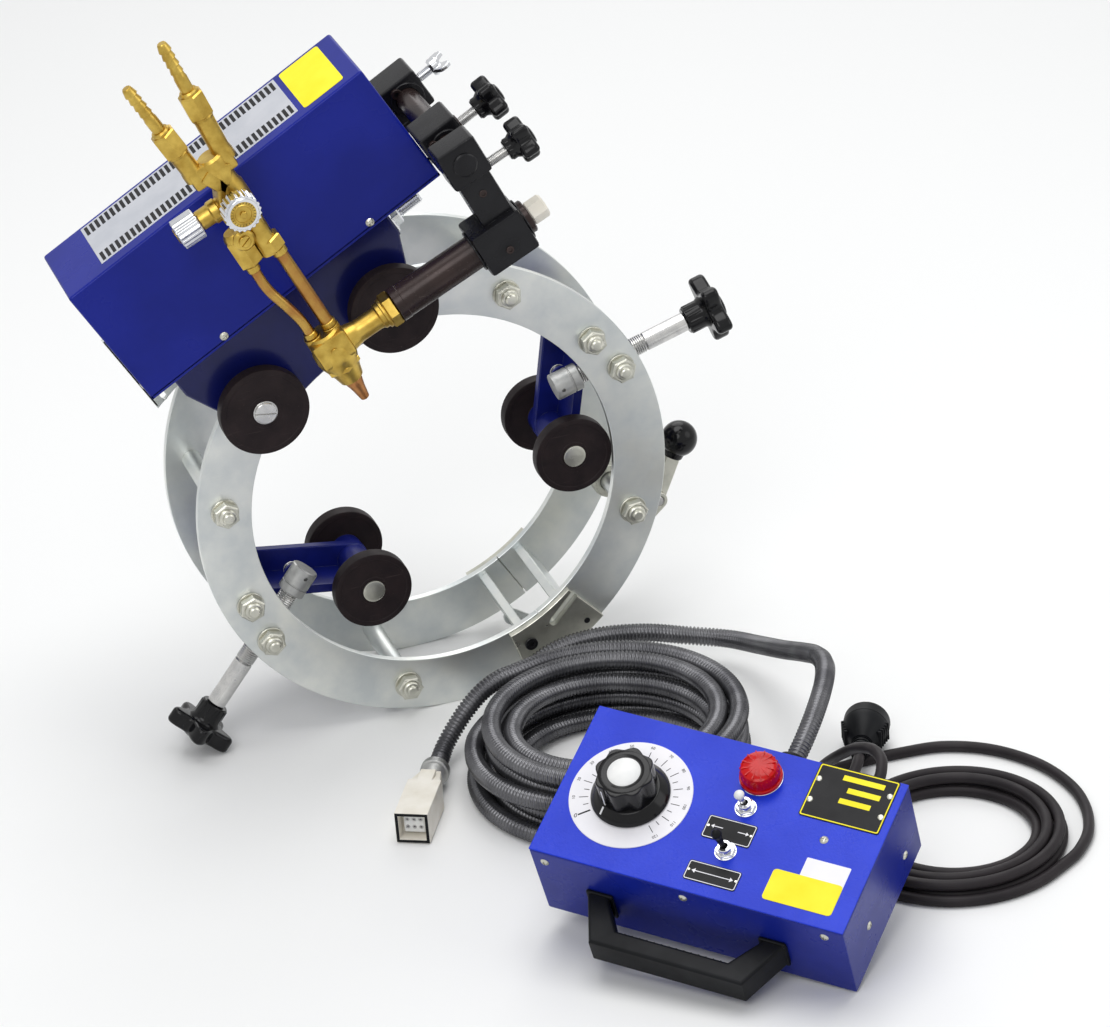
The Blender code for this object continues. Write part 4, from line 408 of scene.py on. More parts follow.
def finish(name, base, shade, gloss, metal, clouds, grain, bump, depth, scratch=None, wear=None, **more):
    # Scratches and wear each have a strength and a colour; the third number is a scale or the bare metal's share
    material = bpy.data.materials.new(name)
    material.use_nodes = True
    tree = material.node_tree
    place = addNode(tree, "TexCoord").outputs["Object"]
    cloud = addNode(tree, "Group", node_tree=softMottle)
    feed(tree, cloud, {"Vector": place, "Scale": clouds, "Grain": grain})
    paint = blend(tree, cloud.outputs["Mask"], colour(*base), colour(*shade))
    rough = ranged(tree, cloud.outputs["Mask"], 0, 1, *gloss)
    if scratch:
        lines = addNode(tree, "Group", node_tree=fineScratches)
        feed(tree, lines, {"Vector": place, "Scale": scratch[2]})
        faint = maths(tree, "MULTIPLY", lines.outputs["Mask"], scratch[0])
        paint = blend(tree, faint, paint, colour(*scratch[1]))
        rough = maths(tree, "ADD", rough, maths(tree, "MULTIPLY", faint, 0.25))
    if wear:
        worn = addNode(tree, "Group", node_tree=edgeWear)
        feed(tree, worn, {"Vector": place})
        rubbed = maths(tree, "MULTIPLY", worn.outputs["Mask"], wear[0])
        paint = blend(tree, rubbed, paint, colour(*wear[1]))
        metal = maths(tree, "ADD", maths(tree, "MULTIPLY", rubbed, wear[2]), metal)
    grains = addNode(tree, "Bump", {"Strength": bump, "Distance": depth, "Height": cloud.outputs["Height"]})
    shader = tree.nodes["Principled BSDF"]
    feed(tree, shader, {"Base Color": paint, "Roughness": rough, "Metallic": metal, "Normal": grains.outputs["Normal"],
                        "Coat Roughness": 0.1})
    feed(tree, shader, {shaderNames[label]: value for label, value in more.items()})
    material.diffuse_color = colour(*base)
    return material


shaderNames = {"coat": "Coat Weight", "coatGloss": "Coat Roughness", "sheen": "Specular IOR Level",
               "clear": "Transmission Weight", "bend": "IOR", "glow": "Emission Color", "glowing": "Emission Strength"}
# Two colours, the range of roughness, how far it is a metal, the scale of clouds and of grain, the bump's strength and
# depth, and what only some of them have. The red lens is coloured right through and takes a little light from inside
looks = {
    "zinc": ((222, 224, 220), (200, 205, 206), (0.3, 0.42), 0.92, 26, 1400, 0.12, 0.0002,
             {"scratch": (0.3, (225, 226, 222), 26)}),
    "zincWarm": ((208, 207, 196), (180, 180, 170), (0.26, 0.4), 0.95, 60, 2400, 0.1, 0.0001, {}),
    "brightSteel": ((205, 204, 202), (180, 180, 180), (0.2, 0.3), 1, 90, 3000, 0.08, 0.0001,
                    {"scratch": (0.35, (150, 150, 150), 70)}),
    "chrome": ((222, 223, 226), (205, 207, 212), (0.08, 0.14), 1, 60, 2500, 0.03, 0.0001, {}),
    "castAluminium": ((176, 176, 174), (150, 151, 151), (0.34, 0.48), 0.95, 70, 1500, 0.25, 0.0002, {}),
    "driveBlue": ((20, 34, 140), (17, 30, 126), (0.26, 0.33), 0, 14, 620, 0.1, 0.0002,
                  {"wear": (0.3, (120, 128, 160), 0.5), "coat": 0.03, "coatGloss": 0.14, "sheen": 0.16}),
    "navyBlue": ((18, 25, 92), (15, 21, 78), (0.26, 0.36), 0, 22, 700, 0.14, 0.0002,
                 {"wear": (0.3, (110, 116, 140), 0.5), "coat": 0.3, "coatGloss": 0.16, "sheen": 0.16}),
    # The control box's enamel in two copies: the panel's copy is painted lighter, a painted light for the light falling
    # on the box's top
    "litPanelBlue": ((24, 56, 206), (20, 49, 190), (0.24, 0.32), 0, 18, 480, 0.45, 0.0005,
                {"wear": (0.22, (120, 135, 190), 0.4), "coat": 0.03, "coatGloss": 0.12, "sheen": 0.16}),
    # The housing's copy of the same enamel is painted darker, a painted shade for the shade on the box's sides
    "shadedCaseBlue": ((20, 36, 140), (17, 31, 124), (0.24, 0.32), 0, 18, 480, 0.2, 0.0003,
                 {"wear": (0.22, (120, 135, 190), 0.4), "sheen": 0.2}),
    "armBlue": ((22, 32, 118), (18, 26, 98), (0.28, 0.4), 0, 40, 800, 0.18, 0.0002,
                {"wear": (0.4, (140, 146, 160), 0.7), "coat": 0.05, "coatGloss": 0.18, "sheen": 0.2}),
    "wheelRubber": ((42, 34, 35), (32, 26, 28), (0.42, 0.58), 0, 55, 1300, 0.22, 0.0002,
                    {"scratch": (0.4, (78, 68, 66), 30), "sheen": 0.12}),
    "glossBlack": ((18, 18, 20), (14, 14, 16), (0.12, 0.2), 0, 40, 1200, 0.05, 0.0001,
                   {"coat": 0.08, "coatGloss": 0.06, "sheen": 0.2}),
    "mouldedBlack": ((22, 23, 26), (17, 18, 20), (0.34, 0.46), 0, 40, 2600, 0.25, 0.0001, {"sheen": 0.12}),
    "blackMetal": ((26, 26, 29), (19, 19, 22), (0.2, 0.32), 0.1, 50, 900, 0.14, 0.0002,
                   {"wear": (0.5, (120, 120, 122), 0.7), "coat": 0.02, "sheen": 0.22}),
    "darkBar": ((52, 40, 38), (38, 29, 28), (0.2, 0.3), 0.3, 45, 1600, 0.12, 0.0001,
                {"scratch": (0.4, (110, 98, 92), 36), "sheen": 0.3}),
    "brass": ((206, 176, 88), (172, 140, 62), (0.28, 0.4), 1, 75, 1500, 0.05, 0.0002,
              {"scratch": (0.25, (228, 204, 128), 60)}),
    "copper": ((184, 130, 82), (150, 100, 58), (0.32, 0.44), 1, 60, 1500, 0.04, 0.0001, {}),
    "pipeBrass": ((184, 148, 76), (158, 104, 60), (0.26, 0.38), 1, 55, 1500, 0.05, 0.0001, {}),
    "hoseGrey": ((108, 108, 111), (71, 71, 75), (0.2, 0.3), 0.6, 24, 1500, 0.1, 0.0001, {"sheen": 0.5}),
    "cableBlack": ((46, 42, 44), (36, 33, 35), (0.4, 0.52), 0, 22, 1500, 0.18, 0.0001, {"sheen": 0.14}),
    "creamPlastic": ((242, 238, 228), (228, 222, 208), (0.4, 0.52), 0, 40, 1700, 0.16, 0.0001, {"sheen": 0.3}),
    "whitePlastic": ((236, 236, 234), (224, 225, 224), (0.3, 0.4), 0, 50, 1800, 0.1, 0.0001, {"sheen": 0.3}),
    "paperWhite": ((240, 238, 241), (233, 232, 237), (0.34, 0.42), 0, 34, 2200, 0.05, 0.0001, {"sheen": 0.15}),
    "labelSilver": ((204, 206, 213), (190, 193, 201), (0.28, 0.38), 0.4, 30, 1800, 0.06, 0.0001, {}),
    "labelYellow": ((250, 236, 52), (242, 226, 40), (0.32, 0.42), 0, 36, 1800, 0.05, 0.0001, {"sheen": 0.12}),
    "labelBlack": ((24, 24, 26), (18, 18, 20), (0.26, 0.36), 0, 50, 1500, 0.05, 0.0001, {"sheen": 0.12}),
    "redLens": ((200, 8, 12), (181, 6, 10), (0.08, 0.16), 0, 90, 500, 0.12, 0.0003,
                {"sheen": 0.2, "coat": 0.1, "clear": 0.08, "bend": 1.49, "glow": colour(200, 8, 12), "glowing": 0.04}),
}
finishes = {name: finish(name, *look, **more) for name, (*look, more) in looks.items()}
print("finishes made:", len(finishes))


# The camera and the studio

view = {"azimuth": -16.7026, "elevation": 27.6301, "roll": -4.8, "distance": 3.5, "lens": 137.03,
        "target": (0.1073, 0.2094, 0.15439)}


def makeCamera():
    azimuth, elevation, roll = (math.radians(view[each]) for each in ("azimuth", "elevation", "roll"))
    back = Vector((math.sin(azimuth) * math.cos(elevation), -math.cos(azimuth) * math.cos(elevation),
                   math.sin(elevation)))
    level = Vector((math.cos(azimuth), math.sin(azimuth), 0))
    rise = back.cross(level)
    right = level * math.cos(roll) + rise * math.sin(roll)
    up = rise * math.cos(roll) - level * math.sin(roll)
    lens = bpy.data.cameras.new("camera")
    lens.lens = view["lens"]
    lens.sensor_width = 36
    lens.clip_end = 60
    camera = linked("camera", lens)
    camera.matrix_world = (Matrix.Translation(Vector(view["target"]) + back * view["distance"])
                           @ Matrix((right, up, back)).transposed().to_4x4())
    bpy.context.scene.camera = camera


# Each lamp has its place, its size and its power
studio = {"world": 0.4, "floorSize": 14, "floor": colour(240, 240, 239), "aim": (0.05, 0, 0.2),
          "lamps": {"key": ((-1.7, -2.5, 2.9), 2.4, 44), "fill": ((2.6, -1.7, 1.9), 2.2, 14),
                    "rim": ((0.9, 2.4, 2.5), 2.4, 26), "over": ((0.1, 0.1, 3.3), 2.6, 58)}}


def makeWorld():
    # What the camera, a mirror or glass sees straight away is as pale as the floor, and the rest stays plain
    world = bpy.context.scene.world or bpy.data.worlds.new("world")
    bpy.context.scene.world = world
    world.use_nodes = True
    tree = world.node_tree
    plain = tree.nodes["Background"]
    feed(tree, plain, {"Color": (0.9, 0.92, 0.95, 1), "Strength": studio["world"]})
    shown = addNode(tree, "Background", {"Color": studio["floor"], "Strength": 1})
    rays = addNode(tree, "LightPath").outputs
    seen = maths(tree, "ADD", maths(tree, "ADD", rays["Is Camera Ray"], rays["Is Glossy Ray"]),
                 rays["Is Transmission Ray"])
    mix = addNode(tree, "MixShader", {"Fac": seen, 1: plain.outputs[0], 2: shown.outputs[0]})
    feed(tree, tree.nodes["World Output"], {"Surface": mix.outputs[0]})


def makeStudio():
    bpy.context.scene.view_settings.view_transform = "Standard"
    makeWorld()
    work = bmesh.new()
    bmesh.ops.create_grid(work, x_segments=1, y_segments=1, size=studio["floorSize"] / 2)
    mesh = bpy.data.meshes.new("floor")
    work.to_mesh(mesh)
    work.free()
    material = bpy.data.materials.new("paleFloor")
    material.use_nodes = True
    feed(material.node_tree, material.node_tree.nodes["Principled BSDF"],
         {"Base Color": studio["floor"], "Roughness": 0.75})
    mesh.materials.append(material)
    linked("floor", mesh)
    for name, (place, size, power) in studio["lamps"].items():
        data = bpy.data.lights.new(name, "AREA")
        data.shape = "DISK"
        data.size = size
        data.energy = power
        toward = (Vector(studio["aim"]) - Vector(place)).to_track_quat("-Z", "Y")
        linked(name, data).matrix_world = Matrix.Translation(place) @ toward.to_matrix().to_4x4()


makeCamera()
makeStudio()
print("camera and studio set")


# Cords: both lie where the model's solids are, on the same routes

def evenly(line, spacing):
    lengths = [0]
    for first, second in zip(line, line[1:]):
        lengths.append(lengths[-1] + (second - first).length)
    steps = round(lengths[-1] / spacing)
    even, k = [], 0
    for i in range(steps + 1):
        want = lengths[-1] * i / steps
        while k < len(lengths) - 2 and lengths[k + 1] < want:
            k += 1
        share = (want - lengths[k]) / max(lengths[k + 1] - lengths[k], 0.001)
        even.append(line[k].lerp(line[k + 1], min(share, 1)))
    return even


underRing = Vector((*stand["ring"][:2], 0))


def smoothRoute(points, spacing=2):
    # Read off at an even spacing, with straight ends
    points = [Vector(point) + underRing for point in points]
    return evenly([points[0]] + flowing(points, 48) + points[-2:], spacing)


def coilRoute(coil, radius, loopPoints=120):
    # The turns spiral in on one layer and out on the next, and climb where the spiral reverses
    step = 2 * radius + coil["gap"]
    layers = round(coil["turns"] / coil["loops"])
    route = []
    for i in range(round(coil["turns"] * loopPoints) + 1):
        done = i / loopPoints
        layer = min(int(done / coil["loops"]), layers - 1)
        inside = done - layer * coil["loops"]
        reach = coil["radius"] - step * (inside if layer % 2 == 0 else coil["loops"] - inside)
        height = radius
        for change in range(1, layers):
            height += step * min(max((done - change * coil["loops"]) * 2 + 0.5, 0), 1)
        angle = math.radians(coil["start"]) + coil["sense"] * done * turn
        route.append(Vector((coil["centre"][0] + underRing.x + reach * math.cos(angle),
                             coil["centre"][1] + underRing.y + reach * math.sin(angle), height)))
    return route


hose = {"radius": 8, "spacing": 0.8, "ribs": (0.79, 0.95, 1.0, 0.95),
        "run": [(158.2, -384.6, 111.3), (168.9, -374.7, 117.9), (187, -354, 127), (208, -321, 130), (226, -279, 121),
                (238, -232, 103), (244, -184, 80), (245, -135, 57), (241, -87, 38), (228, -50, 28), (199, -31, 29),
                (158.8, -29, 41), (118, -29, 47), (84, -29, 44), (54, -30, 30), (30, -40, 15.5), (11, -67, 9),
                (-1.84, -92.03, 8), (-9.84, -105.88, 8)],
        "coil": {"centre": (79, -176), "radius": 112, "gap": 0.9, "loops": 2, "turns": 7.875, "start": 150, "sense": 1},
        "tail": [(34.8, -74.06, 58.7), (19.35, -78.2, 58.7), (2, -83, 54), (-14, -88, 44), (-28, -92.5, 31),
                 (-39, -98, 20), (-46.1, -106.1, 14.4), (-53.9, -119.8, 14.4)]}
cable = {"radius": 4.5, "spacing": 3, "ribs": (1,),
         "run": [(203.4, -435, 104.3), (209.4, -429.4, 108), (217, -413, 111), (219, -390, 107), (217, -360, 92),
                 (214, -325, 66), (216, -288, 36), (228, -259, 13), (247, -247, 5), (268, -245.5, 4.6),
                 (300, -247, 4.6), (335, -253, 4.6), (368, -275, 4.6), (392, -311, 4.6), (401, -350, 4.6),
                 (398, -385, 4.6), (385, -418, 4.6), (366, -441, 4.6), (349.85, -452.25, 4.5), (342.05, -456.75, 4.5)],
         "coil": {"centre": (287, -380), "radius": 94, "gap": 0.9, "loops": 3, "turns": 5 + 5 / 12, "start": -60,
                  "sense": -1},
         "tail": [(215.4, -327.9, 14.4), (219.9, -320.1, 14.4), (230, -303, 14.8), (243, -283, 16.5),
                  (253.6, -268.8, 19.3), (258, -261, 19.4)]}


def endFrame(points):
    # At a cord's far end: x along its last stretch, z up
    last, before = Vector(points[-1]), Vector(points[-2])
    heading = math.degrees(math.atan2(last.y - before.y, last.x - before.x))
    return floorFrame @ shift(*underRing) @ shift(*last) @ turned(heading, "Z")


connector = {"gland": 12, "glandLength": 18, "width": 28, "height": 27.6, "shoulder": 24, "body": 50, "neck": 0.68,
             "wall": 3, "mouth": 14, "setback": 8, "insert": 17, "contacts": 1.9}


def makeConnector():
    c = connector
    ridges = [(8.6, 17.6)]
    for i in range(6):
        top = 17 - i * 1.6
        ridges += [(9.6, top), (10.4, top - 0.5), (10.4, top - 1), (9.6, top - 1.4)]
    ridges += [(c["gland"] - 1, 7.2), (c["gland"], 6.4), (c["gland"], 1.2), (c["gland"] - 1.2, 0.3)]
    nut = put(lathe(ridges, 48), alongX)
    grips = around(16, block((1, c["gland"] - 0.7, -0.8), (6.6, c["gland"], 0.8), 0.3), "X")
    start, wide, high = c["glandLength"] - 0.7, c["width"] / 2, c["height"] / 2
    end = start + c["shoulder"] + c["body"]
    shoulder = block((start, -wide + 1, -high + 1), (start + c["shoulder"], wide - 1, high - 1), 1.6, 2)
    for vert in shoulder.verts:
        if vert.co.x < start + 3:
            vert.co.y *= c["neck"]
            vert.co.z *= c["neck"]
    body = block((start + c["shoulder"] - 3, -wide, -high), (end, wide, high), 1.4, 2)
    rib = block((start + 6, -wide * 0.45, high - 2.2), (end - 22, wide * 0.45, high - 0.1), 0.5)
    pegs = [block((end - 30, side * (wide - 0.6) - 0.5, -5), (end - 20, side * (wide - 0.6) + 0.5, 5), 0.4)
            for side in (-1, 1)]
    mouth = block((end - c["mouth"], -wide + c["wall"], -high + c["wall"]),
                  (end + 3, wide - c["wall"], high - c["wall"]), 1.0)
    hood = drilled(body, [mouth])
    outer = [(-wide + 0.6, -high + 0.6), (wide - 0.6, -high + 0.6), (wide - 0.6, high - 0.6), (-wide + 0.6, high - 0.6)]
    inner = [(x * 0.82, y * 0.82) for x, y in outer]
    seal = put(slab(outer, end - 0.4, end + 0.2, [inner], 0.2), turned(90, "Y") @ turned(90, "Z"))
    half = c["insert"] / 2
    face = end - c["setback"]
    holes = [put(rod(c["contacts"], 0, 7, 0.2, 20), shift(face - 5, -5.4 + 5.4 * (i % 3), -3.4 + 6.8 * (i // 3))
                 @ alongX)
             for i in range(6)]
    insert = drilled(block((end - c["mouth"] - 1, -half, -half), (face, half, half), 0.7), holes)
    pins = [put(sleeve(0.8, c["contacts"] - 0.2, 0, 4.6, 0.2, 16),
                shift(face - 4.9, -5.4 + 5.4 * (i % 3), -3.4 + 6.8 * (i // 3)) @ alongX) for i in range(6)]
    key = block((face - 1, -1.2, half - 1.6), (face + 1.6, 1.2, half), 0.3)
    return make("hoseConnector", {"creamPlastic": [shoulder, hood, rib] + pegs, "castAluminium": [nut] + grips,
                                  "mouldedBlack": [seal], "whitePlastic": [insert, key], "brightSteel": pins},
                "machine", endFrame(hose["tail"]))


plug = {"sleeve": 6.5, "sleeveLength": 22, "radius": 19, "back": 24, "face": 12, "pin": 2.4, "pinLength": 19,
        "pinSpread": 19, "grips": 5}


def makePlug():
    p = plug
    profile = [(p["sleeve"] * 1.2, p["sleeveLength"])]
    for i in range(6):
        top = p["sleeveLength"] - 0.8 - i * 3.4
        wide = p["sleeve"] * (1.2 - 0.035 * i)
        profile += [(wide, top), (wide, top - 1.8), (wide - 1.3, top - 2.1), (wide - 1.3, top - 3.1)]
    boot = put(lathe(profile + [(p["sleeve"] - 0.8, 0.3)], 32), alongX)
    start = 0.3 + p["sleeveLength"] - 2
    back = put(lathe([(p["radius"] * 0.97, p["back"]), (p["radius"], p["back"] - 1),
                      (p["radius"] * 0.98, p["back"] * 0.8), (p["radius"] * 0.86, p["back"] * 0.5),
                      (p["radius"] * 0.66, p["back"] * 0.22), (p["radius"] * 0.45, 0)], 48), shift(start, 0, 0)
               @ alongX)
    rimStart = start + p["back"] - 0.5
    rim = put(lathe([(p["radius"] - 3, p["face"] - 0.6), (p["radius"] - 2.4, p["face"]), (p["radius"] - 0.8, p["face"]),
                     (p["radius"], p["face"] - 0.8), (p["radius"], 0.6), (p["radius"] - 0.6, 0)], 48),
              shift(rimStart, 0, 0) @ alongX)
    grips = []
    for side in (-1, 1):
        for i in range(p["grips"]):
            along = start + 6 + i * 3.6
            reach = p["radius"] * (0.72 + 0.055 * i)
            grips.append(block((along, side * reach - 1.6, -8), (along + 1.7, side * reach + 1.6, 8), 0.5))
    pins = []
    for side in (-1, 1):
        pin = lathe([(0, p["pinLength"]), (p["pin"] * 0.5, p["pinLength"] - 0.2), (p["pin"], p["pinLength"] - 1.6),
                     (p["pin"], 0)], 24)
        pins.append(put(pin, shift(rimStart + p["face"] - 1, side * p["pinSpread"] / 2, 0) @ alongX))
    clips = [block((rimStart + 2, -2.6, side * (p["radius"] - 0.9) - 0.9), (rimStart + p["face"] + 0.3, 2.6,
                                                                            side * (p["radius"] - 0.9) + 0.6), 0.3)
             for side in (-1, 1)]
    return make("mainsPlug", {"mouldedBlack": [boot, back, rim] + grips, "brightSteel": pins + clips},
                "machine", endFrame(cable["tail"]))


def layCord(name, cord, finishName, resolution, nodes, makeEnd):
    line = evenly(smoothRoute(cord["run"]) + coilRoute(cord["coil"], cord["radius"]) + smoothRoute(cord["tail"]),
                  cord["spacing"])
    shares = [cord["ribs"][i % len(cord["ribs"])] for i in range(len(line))]
    curve = tubeCurve(name, [place / 1000 for place in line], cord["radius"] / 1000, resolution, shares)
    curve.materials.append(finishes[finishName])
    piece = linked(name, curve)
    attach(piece, "machine")
    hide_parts(*nodes)
    makeEnd()


layCord("hose", hose, "hoseGrey", 3, ("hose_run", "hose_coil", "hose_tail"), makeConnector)
layCord("mainsCable", cable, "cableBlack", 5, ("cable_run", "cable_coil", "cable_tail"),
        makePlug)


# The split ring: two front plates, two rear plates, tie bars, hinge links and the splice

axles = {"side": 65, "height": 173.4, "hole": 7.35}
ring = {"radius": 200, "bore": 155, "sheet": 6, "depth": 112, "bolts": 177.5, "hinge": 31, "split": 181,
        "splitGap": 0.8, "opening": 60, "upper": (-54, -83, -138), "lower": (53.8, 83, 138), "trunnion": 95,
        "trunnionCircle": 182.4, "boltHole": 6.35, "endBars": {"lower": 174.2, "upper": 187.9}}
lockNut = {"flats": 19, "washer": 11.6, "washerThick": 1.6, "height": 8, "dome": 7.6}


def domeNut(turnedBy):
    # A washer, a hexagon with its corners turned off, the rounded locking collar and the bolt's end
    n = lockNut
    base = n["washerThick"] + n["height"]
    washer = rod(n["washer"], 0, n["washerThick"], 0.3, 36)
    hexed = put(hexagon(n["flats"], n["washerThick"], base, 0.9), turned(turnedBy, "Z"))
    dome = [(0, base + 5.7), (3.6, base + 5.5), (4.7, base + 4.7), (5, base + 3.2), (5.1, base + 2.9),
            (6.2, base + 2.7), (7.2, base + 1.7), (n["dome"], base - 0.2), (n["dome"], base - 2)]
    flange = rod(8.9, base - 0.6, base + 0.3, 0.25, 36)
    return [washer, hexed, lathe(dome, 36), flange]


def nutsAt(degrees):
    # One in front and one behind
    x, z = ringPoint(ring["bolts"], degrees)
    return (putAll(domeNut(degrees * 1.7), shift(x, -0.1, z) @ againstY)
            + putAll(domeNut(degrees * 2.3), shift(x, ring["depth"] + 0.1, z) @ alongY))


def hingePoint():
    return ringPoint(ring["bolts"], ring["hinge"])


def boltHoles(angles, trunnion):
    # A plate without bolts has no trunnion either
    holes = [circle(ringPoint(ring["bolts"], angle), ring["boltHole"]) for angle in angles]
    if angles:
        holes.append(circle(ringPoint(ring["trunnionCircle"], trunnion), ring["boltHole"]))
    return holes


def upperPlate(low, high, angles):
    # Runs clockwise from the hinge over the drive side to the split, with a round seat for the lower half's end
    start = ring["split"] - 360 + math.degrees(ring["splitGap"] / 2 / ring["bolts"])
    outline = ringArc(ring["radius"], start, ring["hinge"]) + ringArc(ring["bore"], ring["hinge"], start)
    holes = boltHoles(angles, -ring["trunnion"])
    holes += [circle((side * axles["side"], axles["height"]), axles["hole"]) for side in (-1, 1)]
    band = (ring["radius"] - ring["bore"]) / 2 + 0.7
    outward = ring["hinge"] + 180 - ring["opening"]
    seat = arc(hingePoint(), band, outward + 90, outward + 270, 5)
    far = [ring["radius"] * part(math.radians(outward)) for part in (math.cos, math.sin)]
    seat += [(x + far[0], z + far[1]) for x, z in (seat[-1], seat[0])]
    return drilled(plate(outline, low, high, holes), [plate(seat, low - 2, high + 2, (), 0.01)])


def lowerPlate(low, high, angles):
    end = ring["split"] - math.degrees(ring["splitGap"] / 2 / ring["bolts"])
    heading = ring["hinge"] + 90
    cap = arc(hingePoint(), (ring["radius"] - ring["bore"]) / 2, heading + 180, heading + 360, 5)
    outline = ringArc(ring["radius"], ring["hinge"], end) + ringArc(ring["bore"], end, ring["hinge"]) + cap[1:-1]
    return plate(outline, low, high, boltHoles(angles, ring["trunnion"]))


def tieBar(degrees):
    # Turned down at the front, where it passes the plate and takes its nut
    x, z = ringPoint(ring["bolts"], degrees)
    bar = lathe([(7.4, 106.2), (8, 105.6), (8, 7), (7.4, 6.3), (6, 6.3), (6, -1)], 36)
    return put(bar, shift(x, 0, z) @ alongY)


def endBar(degrees):
    return put(block((-4, 6.3, 159.5), (4, 106.5, 187.5), 0.7), turned(-degrees, "Y"))


def spliceParts(low, high):
    outline = ringArc(199, 170, 193) + ringArc(156, 193, 170)
    start = ringPoint(168, 183)
    x, z = hingePoint()
    sweep = math.atan2(start[1] - z, start[0] - x) + quarterTurn
    far = (start[0] + 28 * math.cos(sweep), start[1] + 28 * math.sin(sweep))
    slot = plate(strap(start, 3.75, far, 3.76, 15), low - 2, high + 2, (), 0.01)
    return drilled(plate(outline, low, high), [slot])


def capScrew(radius, height):
    # A socket head with its broken rim and its six-sided pocket
    return drilled(rod(radius, 0, height, 0.35, 36), [hexagon(radius * 0.95, height * 0.35, height + 1, 0.01)])


def hingeLink(low):
    heading = ring["hinge"] + 90
    cap = arc(ringPoint(179, ring["hinge"]), 18, heading, heading + 180, 6)
    outline = ringArc(197, 9, ring["hinge"])[:-1] + cap + ringArc(161, ring["hinge"], 9)[1:]
    return plate(outline, low, low + 5, [circle(hingePoint(), ring["boltHole"]),
                                         circle((-axles["side"], axles["height"]), axles["hole"])])


def rivetAt(degrees, circleRadius, low, high, radius=4):
    x, z = ringPoint(circleRadius, degrees)
    return put(rod(radius, low, high, 0.5, 28), shift(x, 0, z) @ alongY)


def makeRing():
    depth = ring["depth"]
    rearLow = depth - ring["sheet"]
    upperNuts = [shape for angle in ring["upper"] for shape in nutsAt(angle)]
    upperFront = [upperPlate(0, 6, ring["upper"]), hingeLink(6.3), rivetAt(13, 179, 5.8, 12.2)]
    make("upperFrontPlate", {"zinc": upperFront}, replaces="front_plate_upper")
    upperRear = [upperPlate(rearLow, depth, ()), hingeLink(rearLow - 5.3), rivetAt(13, 179, rearLow - 6, depth - 5.8)]
    bars = [tieBar(angle) for angle in ring["upper"]] + [endBar(ring["endBars"]["upper"])]
    make("upperRearFrame", {"zinc": upperRear + bars, "zincWarm": upperNuts}, replaces="rear_frame_upper")
    x, z = hingePoint()
    stub = lathe([(7.4, 14.6), (8, 14), (8, 11.6), (6, 11.6), (6, -1)], 36)
    hingeNuts = putAll(domeNut(12), shift(x, -0.1, z) @ againstY)
    make("lowerFrontPlate", {"zinc": [lowerPlate(0, 6, ring["lower"]), put(stub.copy(), shift(x, 0, z) @ alongY)],
                             "zincWarm": hingeNuts}, "lower_half", replaces="front_plate_lower")
    lowerNuts = [shape for angle in ring["lower"] for shape in nutsAt(angle)]
    lowerNuts += putAll(domeNut(31), shift(x, depth + 0.1, z) @ alongY)
    bars = [tieBar(angle) for angle in ring["lower"]] + [endBar(ring["endBars"]["lower"])]
    lug = plate(strap(ringPoint(173.5, 174.2), 7, ringPoint(194, 178.3), 6.3), 46, 49.2)
    pin = rivetAt(178.3, 194, 46.7, 58, 5)
    bars += [lug, pin, put(stub, shift(x, depth, z) @ againstY)]
    rearSplice = spliceParts(depth + 0.3, depth + 6.3)
    screwX, screwZ = ringPoint(172, 174.2)
    screws = [put(capScrew(5.5, 2.2), shift(screwX, depth + 6.3, screwZ) @ alongY)]
    make("lowerRearFrame", {"zinc": [lowerPlate(rearLow, depth, ())] + bars, "zincWarm": [rearSplice] + lowerNuts,
                            "blackMetal": screws}, "lower_half", replaces="rear_frame_lower")
    frontScrews = [put(capScrew(5.5, 2.2), shift(screwX, -6.3, screwZ) @ againstY)]
    edgeX, edgeZ = ringPoint(190, 189.5)
    frontScrews.append(put(rod(2.6, 0, 0.5, 0.2, 24), shift(edgeX, -6.3, edgeZ) @ againstY))
    make("splicePlate", {"zincWarm": [spliceParts(-6.3, -0.3)], "blackMetal": frontScrews}, "lower_half")


makeRing()
print("ring made")

# The drive unit: base, cover with its plates, gear motor, gears and friction wheels

drive = {"left": -126.3, "right": 158, "front": -40, "rear": 50, "top": 358, "deck": 245, "wall": 2, "edge": 2.2,
         "label": (-90, 101, -27, 45), "labelTicks": 38, "patch": (106, 144, -31, 45), "cheek": 13.7, "arc": 158,
         "arcHalf": 22}


def crossScrew(radius, height):
    # A low domed head with a cross recess
    head = lathe([(0, height), (radius * 0.45, height * 0.93), (radius * 0.8, height * 0.62), (radius, height * 0.1),
                  (radius, -0.6)], 28)
    long, wide = radius * 0.62, radius * 0.13
    arms = [put(block((-long, -wide, height * 0.35), (long, wide, height + 1), 0.05), turned(spot, "Z"))
            for spot in (0, 90)]
    return drilled(head, arms)


def slotScrew(radius, height, slot, lean):
    head = rod(radius, 0, height, 0.5, 48)
    return drilled(head, [put(block((-radius - 1, -slot / 2, height - 1.3), (radius + 1, slot / 2, height + 1), 0.05),
                              turned(lean, "Z"))])


